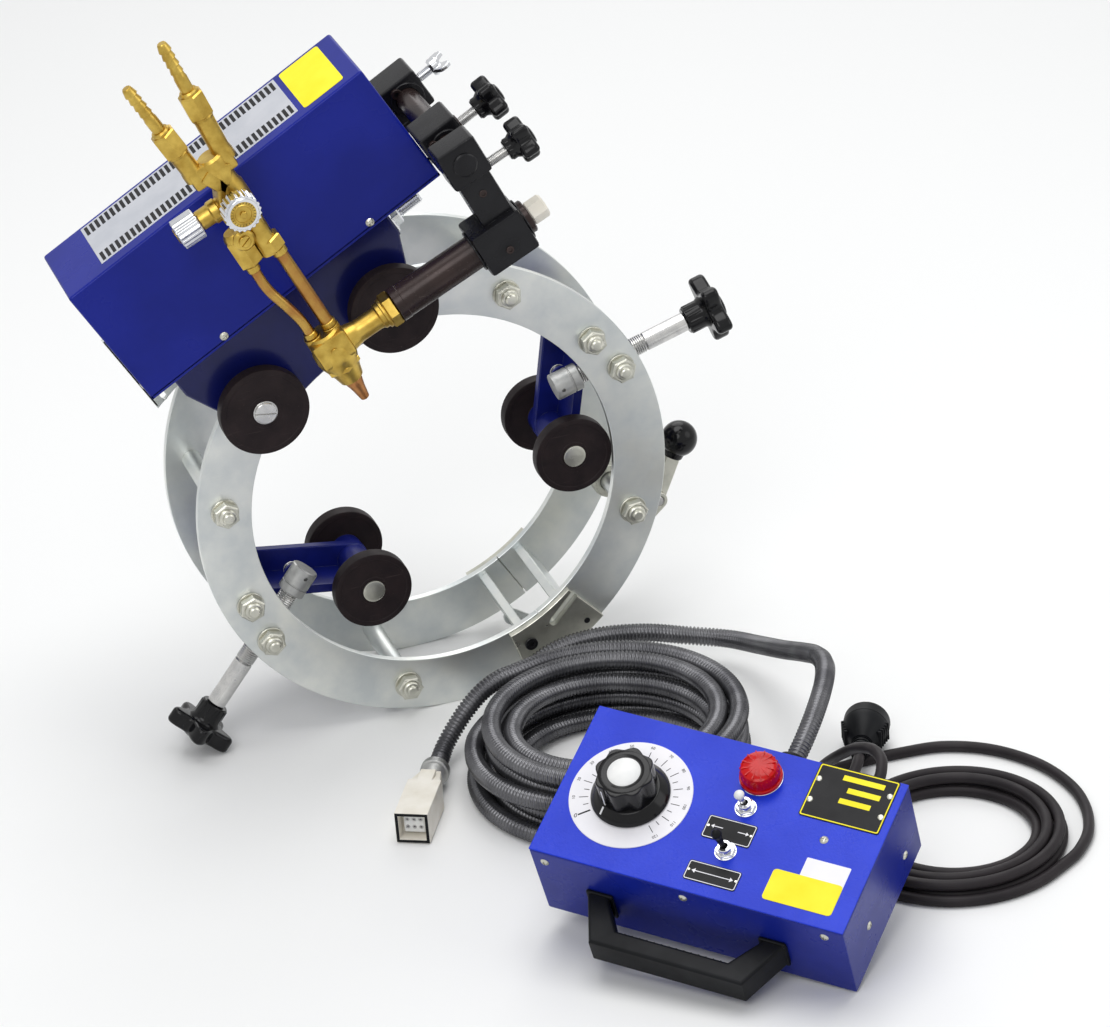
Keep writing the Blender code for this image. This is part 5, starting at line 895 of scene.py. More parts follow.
def makeCover():
    d = drive
    shell = block((d["left"], d["front"], d["deck"] + 0.3), (d["right"], d["rear"], d["top"]), d["edge"], 3)
    inner = block((d["left"] + d["wall"], d["front"] + d["wall"], d["deck"] - 5),
                  (d["right"] - d["wall"], d["rear"] - d["wall"], d["top"] - d["wall"]), 0.6)
    foot = block((d["left"] - 5, d["front"] - 5, d["deck"] - 8), (d["right"] + 5, d["rear"] + 5, d["deck"] + 2.6), 0.01)
    shell = drilled(shell, [inner, foot])
    hem = [block((d["left"], d["front"], d["deck"] + 0.4), (d["right"], d["front"] + 2, d["deck"] + 4), 0.5),
           block((d["left"], d["rear"] - 2, d["deck"] + 0.4), (d["right"], d["rear"], d["deck"] + 4), 0.5),
           block((d["left"], d["front"], d["deck"] + 0.4), (d["left"] + 2, d["rear"], d["deck"] + 4), 0.5),
           block((d["right"] - 2, d["front"], d["deck"] + 0.4), (d["right"], d["rear"], d["deck"] + 4), 0.5)]
    spots = [(x, y, way) for x in (-52, 92) for y, way in ((d["front"], againstY), (d["rear"], alongY))]
    spots += [(x, y, way) for y in (-20, 30) for x, way in ((d["left"], againstX), (d["right"], alongX))]
    screws = [put(crossScrew(3.6, 1.9), shift(x, y, d["deck"] + 6) @ way) for x, y, way in spots]
    x0, x1, y0, y1 = d["label"]
    label = block((x0, y0, d["top"] - 0.3), (x1, y1, d["top"] + 0.35), 0.12)
    ticks = []
    pitch = (x1 - x0 - 8) / (d["labelTicks"] - 1)
    for i in range(d["labelTicks"]):
        middle = x0 + 4 + i * pitch
        for y in (y0 + 2.5, y1 - 17.5):
            ticks.append(block((middle - 1.5, y, d["top"] + 0.2), (middle + 1.5, y + 15, d["top"] + 0.45), 0.05))
    x0, x1, y0, y1 = d["patch"]
    patch = slab(roundedPatch(x0, y0, x1, y1, 3, 15), d["top"] - 0.3, d["top"] + 0.35, (), 0.1)
    make("driveCover", {"driveBlue": [shell] + hem, "zincWarm": screws, "labelSilver": [label], "labelBlack": ticks,
                        "labelYellow": [patch]})


def cheekOutline():
    side = [(106, 245), (106, 216), (94, 186), (77, 172), (67, 160)]
    bottom = ringArc(drive["arc"], drive["arcHalf"], -drive["arcHalf"], 2)
    return [(-x, z) for x, z in side] + bottom + side[::-1]


def makeBase():
    depth = ring["depth"]
    thick = drive["cheek"]
    holes = [circle((side * axles["side"], axles["height"]), axles["hole"], 36) for side in (-1, 1)]
    front = plate(cheekOutline(), -0.3 - thick, -0.3, holes, 1.2)
    rear = plate(cheekOutline(), depth + 0.3, depth + 0.3 + thick, holes, 1.2)
    deck = block((-104.5, 0.8 - thick, 234.5), (104.5, depth + thick - 1.2, 243.5), 0.8)
    deck = drilled(deck, [block((-25, 11, 230), (25, 49, 250), 0.01)])
    lug = block((100, -2, 206), (106, 29, 236), 0.8)
    bosses = [put(sleeve(axles["hole"], 14, 0, 8.6, 0.8, 40), shift(side * axles["side"], y, axles["height"]) @ way)
              for side in (-1, 1) for y, way in ((-14, againstY), (depth + 14, alongY))]
    welds = []
    for y in (-0.6, depth + 0.6):
        bead = [Vector((-100 + 4 * i, y + (0.9 if y < 0 else -0.9), 233.9 + 0.25 * (i % 2))) for i in range(51)]
        welds.append(tube(bead, 1.6, 2, [1 if i % 2 else 1.25 / 1.6 for i in range(51)]))
    bolts = [put(capScrew(3.6, 2.6), shift(x, y, 243.4)) for x in (-86, 86) for y in (-7, depth + 7)]
    make("driveBase", {"navyBlue": [front, rear, deck, lug] + bosses + welds, "blackMetal": bolts})


def makeBracket():
    outline = [(-137, 166), (-102, 174), (-102, 234.2), (-106.3, 234.2), (-106.3, 245), (-137, 245)]
    slot = strap((-127, 171), 2.5, (-127, 182), 2.501, 15)
    face = plate(outline, 96, 100, [slot, circle((-122, 232), 2.4, 20), circle((-110, 205), 1.9, 20)])
    fold = block((-137, 96, 168), (-135, 99.7, 244), 0.3)
    bolt = putAll((rod(4.6, 0, 0.9, 0.2, 28), hexagon(7, 0.9, 3.6, 0.5)), shift(-122, 96, 232) @ againstY)
    make("rearBracket", {"zinc": [face, fold], "zincWarm": bolt})


gears = {"module": 3, "central": 25, "axle": 20, "y": 68, "width": 11, "addendum": 0.75, "dedendum": 1.25,
         "backlash": 0.6}


def gearOutline(teeth, phase):
    g = gears
    pitch = turn / teeth
    tip = g["module"] * (teeth / 2 + g["addendum"])
    root = g["module"] * (teeth / 2 - g["dedendum"])
    middle = (tip + root) / 2
    outline = []
    for i in range(teeth):
        for radius, share in ((root, -0.5), (root, -0.44), (middle, -0.275), (tip - 0.3, -0.09), (tip, -0.06),
                              (tip, 0.06), (tip - 0.3, 0.09), (middle, 0.275), (root, 0.44)):
            angle = phase + (i + share) * pitch
            outline.append((radius * math.cos(angle), radius * math.sin(angle)))
    return outline


def gearPlace():
    reach = gears["module"] * (gears["central"] + gears["axle"]) / 2 + gears["backlash"]
    return (0, axles["height"] + math.sqrt(reach ** 2 - axles["side"] ** 2))


def toothed(teeth, phase, boreRadius):
    low = gears["y"] - gears["width"] / 2
    rim = gears["module"] * (teeth / 2 - gears["dedendum"]) - 3
    disc = plate(gearOutline(teeth, phase), low, low + gears["width"], [circle((0, 0), boreRadius, 32)], 0.3)
    hub = [put(sleeve(boreRadius, boreRadius + 4.5, 0, 2.2, 0.4), shift(0, y, 0) @ way)
           for y, way in ((low, againstY), (low + gears["width"], alongY))]
    lip = put(sleeve(rim - 1, rim, 0, 0.5, 0.2, 64), shift(0, low, 0) @ againstY)
    return [disc, lip] + hub


def frictionWheel(radius, thick, hub):
    # A moulded tread on its core: broken edges, a faint step on the face and a ring at the hub
    half = thick / 2
    return lathe([(hub, half), (hub + 6, half), (hub + 6.5, half - 0.4), (radius - 5, half - 0.4), (radius - 4.4, half),
                  (radius - 1.3, half), (radius - 0.35, half - 0.4), (radius, half - 1.4), (radius, -half + 1.4),
                  (radius - 0.35, -half + 0.4), (radius - 1.3, -half), (radius - 4.4, -half),
                  (radius - 5, -half + 0.4), (hub + 6.5, -half + 0.4), (hub + 6, -half), (hub, -half)], 96, closed=True)


def makeWheels():
    centre = gearPlace()
    pitch = turn / gears["central"]
    rightLine = math.atan2(axles["height"] - centre[1], axles["side"])
    for side, name in ((-1, "left"), (1, "right")):
        line = math.atan2(axles["height"] - centre[1], side * axles["side"])
        miss = (rightLine - line) % pitch
        phase = line + turn / 2 + (turn / 2 - miss * gears["central"]) / gears["axle"]
        here = ringFrame @ shift(side * axles["side"], 0, axles["height"])
        shaft = put(lathe([(7, 148.5), (7, 146), (7, -36.3)], 40), alongY)
        frontScrew = put(slotScrew(8.9, 2.5, 1.8, 0), turned(38, "Y") @ shift(0, -36.3, 0) @ againstY)
        rearScrew = put(slotScrew(8.9, 2.5, 1.8, 60), shift(0, 148.3, 0) @ alongY)
        washers = [put(rod(9.9, 0, 0.5, 0.15, 48), shift(0, y, 0) @ way)
                   for y, way in ((-36.3, againstY), (148.3, alongY))]
        spacer = put(sleeve(7.2, 10.5, -23.7, -22.9, 0.2), alongY)
        rearWheel = put(frictionWheel(36.5, 12, 7), shift(0, 142, 0) @ alongY)
        make(f"{name}DriveAxle", {"brightSteel": [shaft, frontScrew, rearScrew, spacer] + washers
                                  + toothed(gears["axle"], phase, 7), "wheelRubber": [rearWheel]},
             f"{name}_drive", here)
        frontWheel = put(frictionWheel(36.5, 12, 7.3), shift(0, -30, 0) @ alongY)
        make(f"{name}DriveWheel", {"wheelRubber": [frontWheel]}, f"{name}_drive", here)
    shaft = put(rod(8, 46.4, 80.5, 0.8), alongY)
    key = put(block((-1.8, 73, 6.8), (1.8, 79, 9.2), 0.2), turned(30, "Y"))
    make("centralGear", {"brightSteel": toothed(gears["central"], rightLine, 8) + [shaft, key]}, "gear",
         ringFrame @ shift(centre[0], 0, centre[1]))


def makeMotor():
    column = block((-22, 14, 172), (22, 46, 262), 2, 2)
    ribs = [block((-22.6, 20 + 8 * i, 176), (22.6, 22 + 8 * i, 252), 0.5) for i in range(3)]
    head = block((-25, -28, 258), (25, 45.3, 338), 2.5, 2)
    lid = block((-21, -29, 262), (21, -27.5, 334), 0.6)
    covers = [put(capScrew(2.4, 1.6), shift(x, -29, z) @ againstY) for x in (-17, 17) for z in (266, 330)]
    line = shift(0, 6, 300)
    can = put(lathe([(31, 137), (34, 134), (34, 128), (33.2, 127.5), (33.2, 36), (34, 35.5), (34, 25)],
                    56), line @ alongX)
    fins = around(24, block((40, -0.8, 32.6), (124, 0.8, 33.9), 0.3), "X", line)
    end = put(rod(11, 136, 139.5, 0.8), line @ alongX)
    foot = block((23, -7, 248), (115, 19, 283), 0.8)
    sheetFloor = drilled(block((-123.9, -37.6, 245.3), (155.6, 47.6, 248.3), 0.5),
                         [block((-25, 11, 240), (25, 60, 252), 0.01)])
    wire = tube([Vector(point) for point in ((60, 6, 332), (62, 6, 341), (72, 6, 346), (96, 2, 346), (122, -6, 338),
                                             (138, -12, 318), (142, -14, 290), (138, 2, 262), (128, 10, 250))], 3, 3)
    make("gearMotor", {"castAluminium": [column, head, lid, foot] + ribs, "zinc": [sheetFloor, can] + fins,
                       "blackMetal": covers + [end], "mouldedBlack": [wire]})


def makeSocket():
    nut = hexagon(24.4, 0, 8.6, 1.2)
    body = drilled(threaded(10, 8, 30, 1.6, 0.7, 1, 40), [rod(7, 9, 32, 0.01, 32)])
    floor = rod(7, 8.8, 9.6, 0.1, 32)
    contacts = [put(sleeve(0.8, 1.6, 9.4, 15, 0.2, 16), shift(3.6 * math.cos(turn * i / 6),
                                                              3.6 * math.sin(turn * i / 6), 0))
                for i in range(6)]
    flange = block((-13.4, -13.4, -0.1), (13.4, 13.4, 1.6), 0.5)
    pins = [put(crossScrew(1.8, 1), shift(x, y, 1.6)) for x in (-10.6, 10.6) for y in (-10.6, 10.6)]
    place = ringFrame @ shift(106.3, 14, 221) @ alongX
    make("motorSocket", {"chrome": [nut, body, flange] + pins, "mouldedBlack": [floor], "brightSteel": contacts},
         "machine", place)


makeBase()
makeCover()
makeBracket()
makeWheels()
makeMotor()
makeSocket()
print("drive unit made")

# Roller arms with their setting spindles

arms = {"length": 107.5, "lean": {"left": 52, "right": 39.8}, "reach": 45, "offset": 10.5, "pivotBoss": 15,
        "rollerBoss": 14, "ear": 13, "cheek": 8, "front": 33.5, "rear": 70, "web": 8, "webShift": 9, "roller": 33,
        "pin": 5, "pinHole": 8.2}
spindles = {"y": 19, "length": {"left": 126, "right": 111}, "trunnion": 13,
            "star": 29.5, "lobes": 5, "thick": 14, "hub": 12, "hubLength": 17}


def armLayout(name):
    # In the ring's frame: an arm's side, its pivot, its rollers' axle and its collar
    side = 1 if name == "right" else -1
    pivot = ringPoint(ring["bolts"], -side * 83)
    lean = math.radians(arms["lean"][name])
    along = (-side * math.sin(lean), -math.cos(lean))
    across = (-side * math.cos(lean), math.sin(lean))
    roller = (pivot[0] + along[0] * arms["length"], pivot[1] + along[1] * arms["length"])
    collar = (pivot[0] + along[0] * arms["reach"] + across[0] * arms["offset"],
              pivot[1] + along[1] * arms["reach"] + across[1] * arms["offset"])
    return side, pivot, roller, collar


def makeArm(name):
    a = arms
    side, pivot, roller, collar = armLayout(name)
    outline = strap(pivot, a["pivotBoss"], roller, a["rollerBoss"], 6)
    pivotHole, rollerHole = circle(pivot, 8.35, 36), circle(roller, 6.35, 36)
    pinHole = circle(collar, a["pinHole"], 36)
    earSolid = drilled(plate(outline, a["front"], a["front"] + a["cheek"], [pivotHole, rollerHole], 0.9),
                       [plate(circle(collar, a["ear"], 48), a["front"], a["front"] + a["cheek"], (), 0.9)], "UNION")
    front = drilled(earSolid, [plate(pinHole, a["front"] - 2, a["front"] + a["cheek"] + 2, (), 0.01)])
    rear = plate(outline, a["rear"], a["rear"] + a["cheek"], [pivotHole, rollerHole], 0.9)
    direction = math.degrees(math.atan2(roller[1] - pivot[1], roller[0] - pivot[0]))
    along = shift(pivot[0], 0, pivot[1]) @ turned(-direction, "Y")
    web = put(block((6, a["front"] + 4, -a["web"] / 2), (a["length"] - 6, a["rear"] + 4, a["web"] / 2), 1.2, 2),
              along @ shift(0, 0, side * a["webShift"]))
    bosses = [put(sleeve(8.35, 14.3, 30, 86, 1), shift(pivot[0], 0, pivot[1]) @ alongY),
              put(sleeve(6.35, 13.3, 21.5, 90.5, 1), shift(roller[0], 0, roller[1]) @ alongY)]
    beads = []
    for y in (a["front"] + a["cheek"], a["rear"]):
        lean = 1 if y < 60 else -1
        points = [Vector((12 + 3 * i, y + 0.7 * lean, side * a["webShift"] + side * 3.6)) for i in range(29)]
        beads.append(put(tube(points, 1.5, 2, [1 if i % 2 else 1.15 / 1.5 for i in range(29)]), along))
    make(f"{name}Arm", {"armBlue": [front, rear, web] + bosses + beads}, f"{name}_arm_body")
    here = ringFrame @ shift(roller[0], 0, roller[1])
    axle = put(lathe([(6, 105.5), (6, 6.4)], 32), alongY)
    caps = []
    for y, way in ((8.3, againstY), (103.7, alongY)):
        cap = lathe([(5.4, 2.2), (5.9, 1.9), (8.6, 1.9), (9.3, 1.5), (9.4, 0.4), (9.4, -0.8)], 40)
        caps.append(put(cap, shift(0, y, 0) @ way))
    wheels = [put(frictionWheel(a["roller"], 12, 6), shift(0, y, 0) @ alongY) for y in (14, 98)]
    make(f"{name}Rollers", {"wheelRubber": wheels, "zincWarm": [axle] + caps}, f"{name}_roller_pair",
         here)


def starKnob(radius, depth, lobes, thick, hub, hubLength, boss, bossHeight):
    # A lobed grip with rounded rims and dished faces on a tapering fluted hub, its face up
    outline = waves(radius, depth, lobes, 18, 1.15)
    grip = slab(outline, hubLength, hubLength + thick, (), thick * 0.24, 3)
    top = hubLength + thick
    cap = lathe([(0, top + bossHeight), (boss * 0.5, top + bossHeight * 0.96), (boss * 0.76, top + bossHeight * 0.7),
                 (boss * 0.86, top + bossHeight * 0.1), (boss, top - 0.6), (boss, top - 3)], 40)
    neck = lathe([(hub + 3.4, hubLength + 2), (hub + 1.4, hubLength - 1), (hub, hubLength - 3.4), (hub - 0.7, 0.7),
                  (hub - 1.4, 0)], 40)
    flutes = around(14, block((hub - 1.8, -0.9, 1.4), (hub + 0.1, 0.9, hubLength - 3), 0.5))
    return [grip, cap, neck] + flutes


def makeSpindle(name):
    s = spindles
    side, *_, collar = armLayout(name)
    trunnion = ringPoint(ring["trunnionCircle"], -side * ring["trunnion"])
    heading = math.degrees(math.atan2(trunnion[1] - collar[1], trunnion[0] - collar[0]))
    outward = shift(collar[0], s["y"], collar[1]) @ turned(-heading, "Y") @ alongX
    length = s["length"][name]
    way = bore(8.3, -40, length, outward, 40)
    body = drilled(put(rod(s["trunnion"], 6.6, 31.5, 1.2, 56), shift(trunnion[0], 0, trunnion[1]) @ alongY), [way])
    nut = putAll(domeNut(side * 17), shift(trunnion[0], -0.3, trunnion[1]) @ againstY)
    stub = put(rod(6, -0.5, 8, 0.2), shift(trunnion[0], 0, trunnion[1]) @ alongY)
    make(f"{name}Trunnion", {"brightSteel": [body, stub], "zincWarm": nut}, f"{name}_trunnion_body")
    shell = put(lathe([(10.6, 12), (11.5, 11.1), (11.5, 5), (10.9, 4.6), (10.9, 3.8), (11.5, 3.4), (11.5, -11.1),
                       (10.6, -12)], 48), outward)
    shell = drilled(shell, [bore(8.3, 0.9, 14, outward, 40), bore(1.6, 8, 14, outward @ shift(0, 0, -6)
                                                                  @ turned(90, "X"), 24)])
    pin = put(rod(arms["pin"], s["y"], arms["front"] + arms["cheek"], 0.5), shift(collar[0], 0, collar[1]) @ alongY)
    circlip = put(sleeve(4.2, 6.6, arms["front"] + arms["cheek"] - 2.2, arms["front"] + arms["cheek"] - 1.2, 0.2),
                  shift(collar[0], 0, collar[1]) @ alongY)
    make(f"{name}ThrustCollar", {"castAluminium": [shell], "brightSteel": [pin, circlip]},
         f"{name}_collar")
    screwed = length * 0.66
    shaft = [put(threaded(8, 1.2, screwed, 1.75, 0.55, 1.4, 40), outward),
             put(rod(7.9, screwed - 0.5, length, 0.8, 48), outward)]
    make(f"{name}Spindle", {"brightSteel": shaft}, f"{name}_screw")
    grip = putAll(starKnob(s["star"], 11, s["lobes"], s["thick"], s["hub"], s["hubLength"], 13, 3.6), outward
                  @ shift(0, 0, length + 0.3))
    make(f"{name}StarKnob", {"glossBlack": grip}, f"{name}_screw")


# Latch between the two halves

latch = {"y": 56, "thick": 10, "elbow": (224, -141), "ball": (236, -127.5), "ballRadius": 15.5, "catch": (194, 178.3)}


def makeLatch():
    pivot = ringPoint(ring["bolts"], -138)
    elbow, knob = ringPoint(*latch["elbow"]), ringPoint(*latch["ball"])
    low, high = latch["y"], latch["y"] + latch["thick"]
    arm = plate(strap(pivot, 15, elbow, 9), low, high, [circle(pivot, 8.35, 36)], 0.9)
    tail = plate(strap(elbow, 8.6, knob, 6), low + 0.3, high - 0.3, (), 1.2)
    pin = put(rod(4.5, low - 6.6, low + 2, 0.5, 32), shift(elbow[0], 0, elbow[1]) @ alongY)
    head = put(rod(6.4, high - 0.2, high + 1.6, 0.6, 32), shift(elbow[0], 0, elbow[1]) @ alongY)
    make("latchLever", {"zincWarm": [arm, tail], "brightSteel": [pin, head]}, "lever")
    grip = put(ball(latch["ballRadius"], 40), shift(knob[0], (low + high) / 2, knob[1]))
    toward = math.degrees(math.atan2(elbow[1] - knob[1], elbow[0] - knob[0]))
    neck = put(lathe([(8.2, 17), (9, 16), (9.6, 12)], 36),
               shift(knob[0], (low + high) / 2, knob[1]) @ turned(-toward, "Y") @ alongX)
    make("latchBall", {"glossBlack": [grip, neck]}, "lever")
    catch = ringPoint(latch["catch"][0] + 9, latch["catch"][1])
    inward = ringPoint(latch["catch"][0] - 8.5, latch["catch"][1])
    hookLow, hookHigh = low - 6.4, low - 0.4
    bar = plate(strap(elbow, 8, catch, 8.5), hookLow, hookHigh, [circle(elbow, 4.8, 32)], 0.6)
    bite = plate(strap(catch, 5.8, inward, 5.81), hookLow - 2, hookHigh + 2, (), 0.01)
    make("latchHook", {"zincWarm": [drilled(bar, [bite])]}, "hook")


for name in ("left", "right"):
    makeArm(name)
    makeSpindle(name)
makeLatch()
print("arms, spindles and latch made")

# Torch holder: bracket, cross bar, two clamps and their knobs

holder = {"bar": (176, 270), "barWay": 10.35, "front": 50.6, "rear": 86, "half": 17.2, "drop": 74, "torchWay": 14.35,
          "star": 19}


def makeHolder():
    x, z = holder["bar"]
    half = holder["half"]
    centre = shift(x, 0, z)
    way = bore(holder["barWay"], 40, 100, centre @ alongY)
    body = drilled(block((x - half, holder["front"], z - half), (x + half, holder["rear"], z + half), 2.4, 2), [way])
    foot = block((60, 50.6, 245.3), (x + 6, 84, 255.3), 1.2)
    rib = block((132, 56, 252), (162, 80, 262), 1.6)
    screws = [put(capScrew(5.2, 4.6), shift(place, 67, 255.2)) for place in (76, 100, 124)]
    ear = put(capScrew(4.4, 3.4), shift(x - 5, holder["front"], z + half - 7) @ againstY)
    collar = put(sleeve(10.4, 14.4, holder["front"] - 1.6, holder["front"] + 1, 0.6), centre @ alongY)
    make("holderBracket", {"blackMetal": [body, foot, rib, collar], "zincWarm": screws, "darkBar": [ear]})
    bar = put(lathe([(0, 100), (3.4, 99.7), (6.4, 98.6), (8.8, 97), (9.8, 95), (10, 93), (10, -95.2), (9.2, -96)],
                    56), centre @ alongY)
    bolt = put(rod(3, 99.6, 100.2, 0.2, 24), centre @ alongY)
    make("crossBar", {"darkBar": [bar], "blackMetal": [bolt]}, "bar")
    way = bore(holder["barWay"], -70, 0, centre @ alongY)
    slit = block((x - 1.2, -70, z - half - 4), (x + 1.2, 0, z - 6), 0.01)
    clamp = drilled(block((x - half, -56, z - half), (x + half, -18, z + half), 2.4, 2), [way, slit])
    ears = [put(capScrew(4, 3), shift(x - 9, -56, z + half - 9) @ againstY),
            put(rod(7.8, 0, 1.6, 0.5, 40), shift(x + half - 0.2, -37, z) @ alongX)]
    rim = put(sleeve(10.4, 13.6, -57.4, -55, 0.6), centre @ alongY)
    make("angleClamp", {"blackMetal": [clamp, rim], "darkBar": ears}, "bar")
    place = ringFrame @ shift(x + half + 0.3, 68.3, z) @ alongX
    stud = [threaded(4, 0, 12.6, 1.2, 0.45, 0.6, 28), lathe([(5.4, 21), (7.2, 19), (7.6, 14), (6.4, 12)], 36)]
    wings = []
    for side in (-1, 1):
        fin = slab([(side * px, pz) for px, pz in ((2, 12.6), (9, 13.2), (14.4, 17.5), (15, 23), (13, 26.6), (9.6, 27),
                                                   (6.6, 22.5), (2, 20.5))], -2, 2, (), 0.9, 2)
        wings.append(put(fin, turned(90, "Z") @ upright))
    make("wingScrew", {"chrome": stud + wings}, "wing", place)


def smallKnob():
    grip = starKnob(holder["star"], 7, 5, 14, 9, 8.5, 9.4, 2.4)
    return grip, threaded(4, -16, 1, 1.2, 0.45, 0.6, 28)


def makeClamps():
    drop = holder["drop"]
    top = block((-17, -14, -17), (17, 14, 17), 2.6, 2)
    stem = block((-13.6, -12, -drop), (13.6, 12, 0), 2.2, 2)
    jaw = block((-28, -19, -drop - 19), (16, 19, -drop + 19), 2.6, 2)
    torchLine = shift(0, 0, -drop) @ alongX
    slit = block((-40, -1.2, -drop - 30), (30, 1.2, -drop - 8), 0.01)
    top = drilled(top, [bore(holder["barWay"], -9.3, 30, alongY)])
    jaw = drilled(jaw, [bore(holder["torchWay"], -40, 30, torchLine), slit])
    stem = drilled(stem, [bore(holder["torchWay"], -40, 30, torchLine), bore(holder["barWay"], -9.3, 30, alongY)])
    knuckle = put(lathe([(8.6, 1.6), (9.6, 0.9), (9.6, -1)], 48), shift(0, -14, 0) @ againstY)
    setScrews = [put(capScrew(3.2, 1.2), shift(-6, -19, -drop - 6) @ againstY),
                 put(capScrew(3.2, 1), shift(0, -12, -30) @ againstY)]
    rims = [put(sleeve(14.4, 17.4, 0, 1.4, 0.5), shift(-28, 0, -drop) @ againstX),
            put(sleeve(14.4, 17.4, 0, 1.4, 0.5), shift(16, 0, -drop) @ alongX)]
    make("swivelClamp", {"blackMetal": [top, stem, jaw, knuckle] + rims, "darkBar": setScrews}, "swivel",
         swivelFrame)
    grip, stud = smallKnob()
    make("swivelKnob", {"glossBlack": grip, "brightSteel": [stud]}, "swivel_knob_body", swivelFrame
         @ shift(33.3, 0, -17) @ alongX)
    grip, stud = smallKnob()
    make("angleKnob", {"glossBlack": grip, "brightSteel": [stud]}, "angle_knob_body", ringFrame
         @ shift(holder["bar"][0] + 33.5, -37, holder["bar"][1]) @ alongX)


# Torch: bar, head with its tip, two pipes, valve body and tails

torch = {"x": -162, "drop": 74, "valve": 80, "tails": 13, "lean": 4}


def flutedGrip(radius, length, flutes, depth):
    # A pressed metal knob with ribs round its rim and turned faces
    rim = slab(waves(radius, depth, flutes, 8), 0.8, length - 0.8, (), 0.7, 1)
    faces = lathe([(radius * 0.72, length), (radius * 0.86, length - 0.5), (radius - depth - 0.5, length - 1.6),
                   (radius - depth - 0.5, 1.6), (radius * 0.86, 0.5), (radius * 0.7, 0)], 56)
    return [rim, faces]


def makeTorchBar():
    place = swivelFrame @ shift(0, 0, -torch["drop"]) @ alongX
    bar = lathe([(13, 22), (14, 21), (14, -102), (13.4, -103)], 64)
    nut = hexagon(17, 21.9, 37, 1.6)
    end = lathe([(3.2, 37.3), (3.6, 36.8)], 24)
    sleeveEnd = sleeve(13.2, 14.35, -103.2, -96, 0.5, 64)
    make("torchBar", {"darkBar": [bar, sleeveEnd], "creamPlastic": [nut], "brass": [end]}, "torch", place)


def makeTorchHead():
    barLine = shift(0, 0, -torch["drop"]) @ alongX
    place = swivelFrame @ shift(torch["x"], 0, 0)
    body = put(block((-15, -15, -24), (15, 15, 0), 3.2, 2), shift(0, 0, -58))
    cone = lathe([(15, -68), (16.4, -71), (16.8, -76), (16.8, -80), (16, -84), (14.2, -89), (12.4, -94), (11, -99),
                  (9.8, -104.2), (9, -105)], 56)
    flats = hexagon(27, -92.5, -86, 1.6)
    shoulder = lathe([(11.6, -56.2), (13.8, -58), (14.6, -61), (14.6, -66)], 48)
    nips = [put(lathe([(6.6, 3.6), (7, 3), (7, -1)], 32), shift(side * 8, 0, -59.2)) for side in (-1, 1)]
    side = put(lathe([(10.8, 50), (10.8, 44), (9.4, 42.6), (9, 40), (9, 24), (9.6, 21.6), (10.6, 17), (11.8, 13)], 48),
               barLine)
    flange = put(hexagon(25, 49.7, 58.7, 1.2), barLine)
    lockRing = put(lathe([(12, 49.8), (12.4, 49.2), (12.4, 47.6), (11.6, 47)], 48), barLine)
    plug = put(rod(3.2, 0, 1.2, 0.3, 24), shift(0, -15, -70) @ againstY)
    parts = [body, cone, flats, shoulder, side, flange, lockRing, plug] + nips
    make("torchHead", {"brass": parts}, "torch", place)
    nozzle = lathe([(1.2, -105.5), (7.1, -105.5), (7.1, -108.4), (6.6, -110), (5.4, -115), (3.7, -125.4), (3.1, -126),
                    (1.2, -125.6)], 40, closed=True)
    gas = [put(rod(0.5, -0.2, 0.3, 0.05, 12), shift(2.2 * math.cos(turn * i / 6), 2.2 * math.sin(turn * i / 6), -126.0))
           for i in range(6)]
    make("torchNozzle", {"copper": [nozzle], "blackMetal": gas}, "torch", place)


def bendLine(points, count):
    points = [Vector(point) for point in points]
    return flowing([points[0] * 2 - points[1], *points, points[-1] * 2 - points[-2]], count) + points[-1:]


def makePipes():
    low, high = -55.7, 25.7
    rise = high - low
    place = swivelFrame @ shift(torch["x"], 0, 0)
    straight = [tube(bendLine([(8, 0, low), (8, 0, low + rise * 0.5), (8, 0, high)], 4), 5.2, 8)]
    straight += [put(rod(6.3, 0, 5, 0.6), shift(8, 0, low + 0.2)), put(rod(6.3, 0, 6, 0.6), shift(8, 0, high - 6.2))]
    make("straightPipe", {"pipeBrass": straight[:1], "brass": straight[1:]}, "torch", place)
    bent = tube(bendLine([(-8, 0, low), (-8, 0, low + rise * 0.2), (-11.2, 0, low + rise * 0.42),
                          (-16, 0, low + rise * 0.7), (-16, 0, high)], 12), 4.2, 8)
    rings = [put(rod(5.4, 0, 5, 0.6), shift(-8, 0, low + 0.2)), put(rod(5.4, 0, 6, 0.6), shift(-16, 0, high - 6.2))]
    make("bentPipe", {"pipeBrass": [bent], "brass": rings}, "torch", place)


def hoseTail(hexLength, start):
    # A hexagon with its turned shoulder, and the stepped nipple for a hose
    hexed = hexagon(18, hexLength - 21, hexLength, 1.2)
    arm = lathe([(8.6, hexLength - 20), (8.9, hexLength - 21.5), (7.9, hexLength - 24), (7.7, 12), (8.6, 8), (8.8, 2)],
                40)
    collar = lathe([(6.6, hexLength + 3), (7.6, hexLength + 1.6), (7.6, hexLength - 1)], 40)
    base = hexLength + 2.5
    profile = [(3.2, base + 43.5), (3.8, base + 42.6)]
    for i in range(4):
        top = base + 41.5 - i * 6.4
        profile += [(4.1, top), (5.2, top - 4.8), (4.4, top - 5)]
    profile += [(4.6, base + 14), (5.2, base + 12), (5.2, base - 1)]
    return putAll((hexed, arm, collar, lathe(profile, 40)), start)


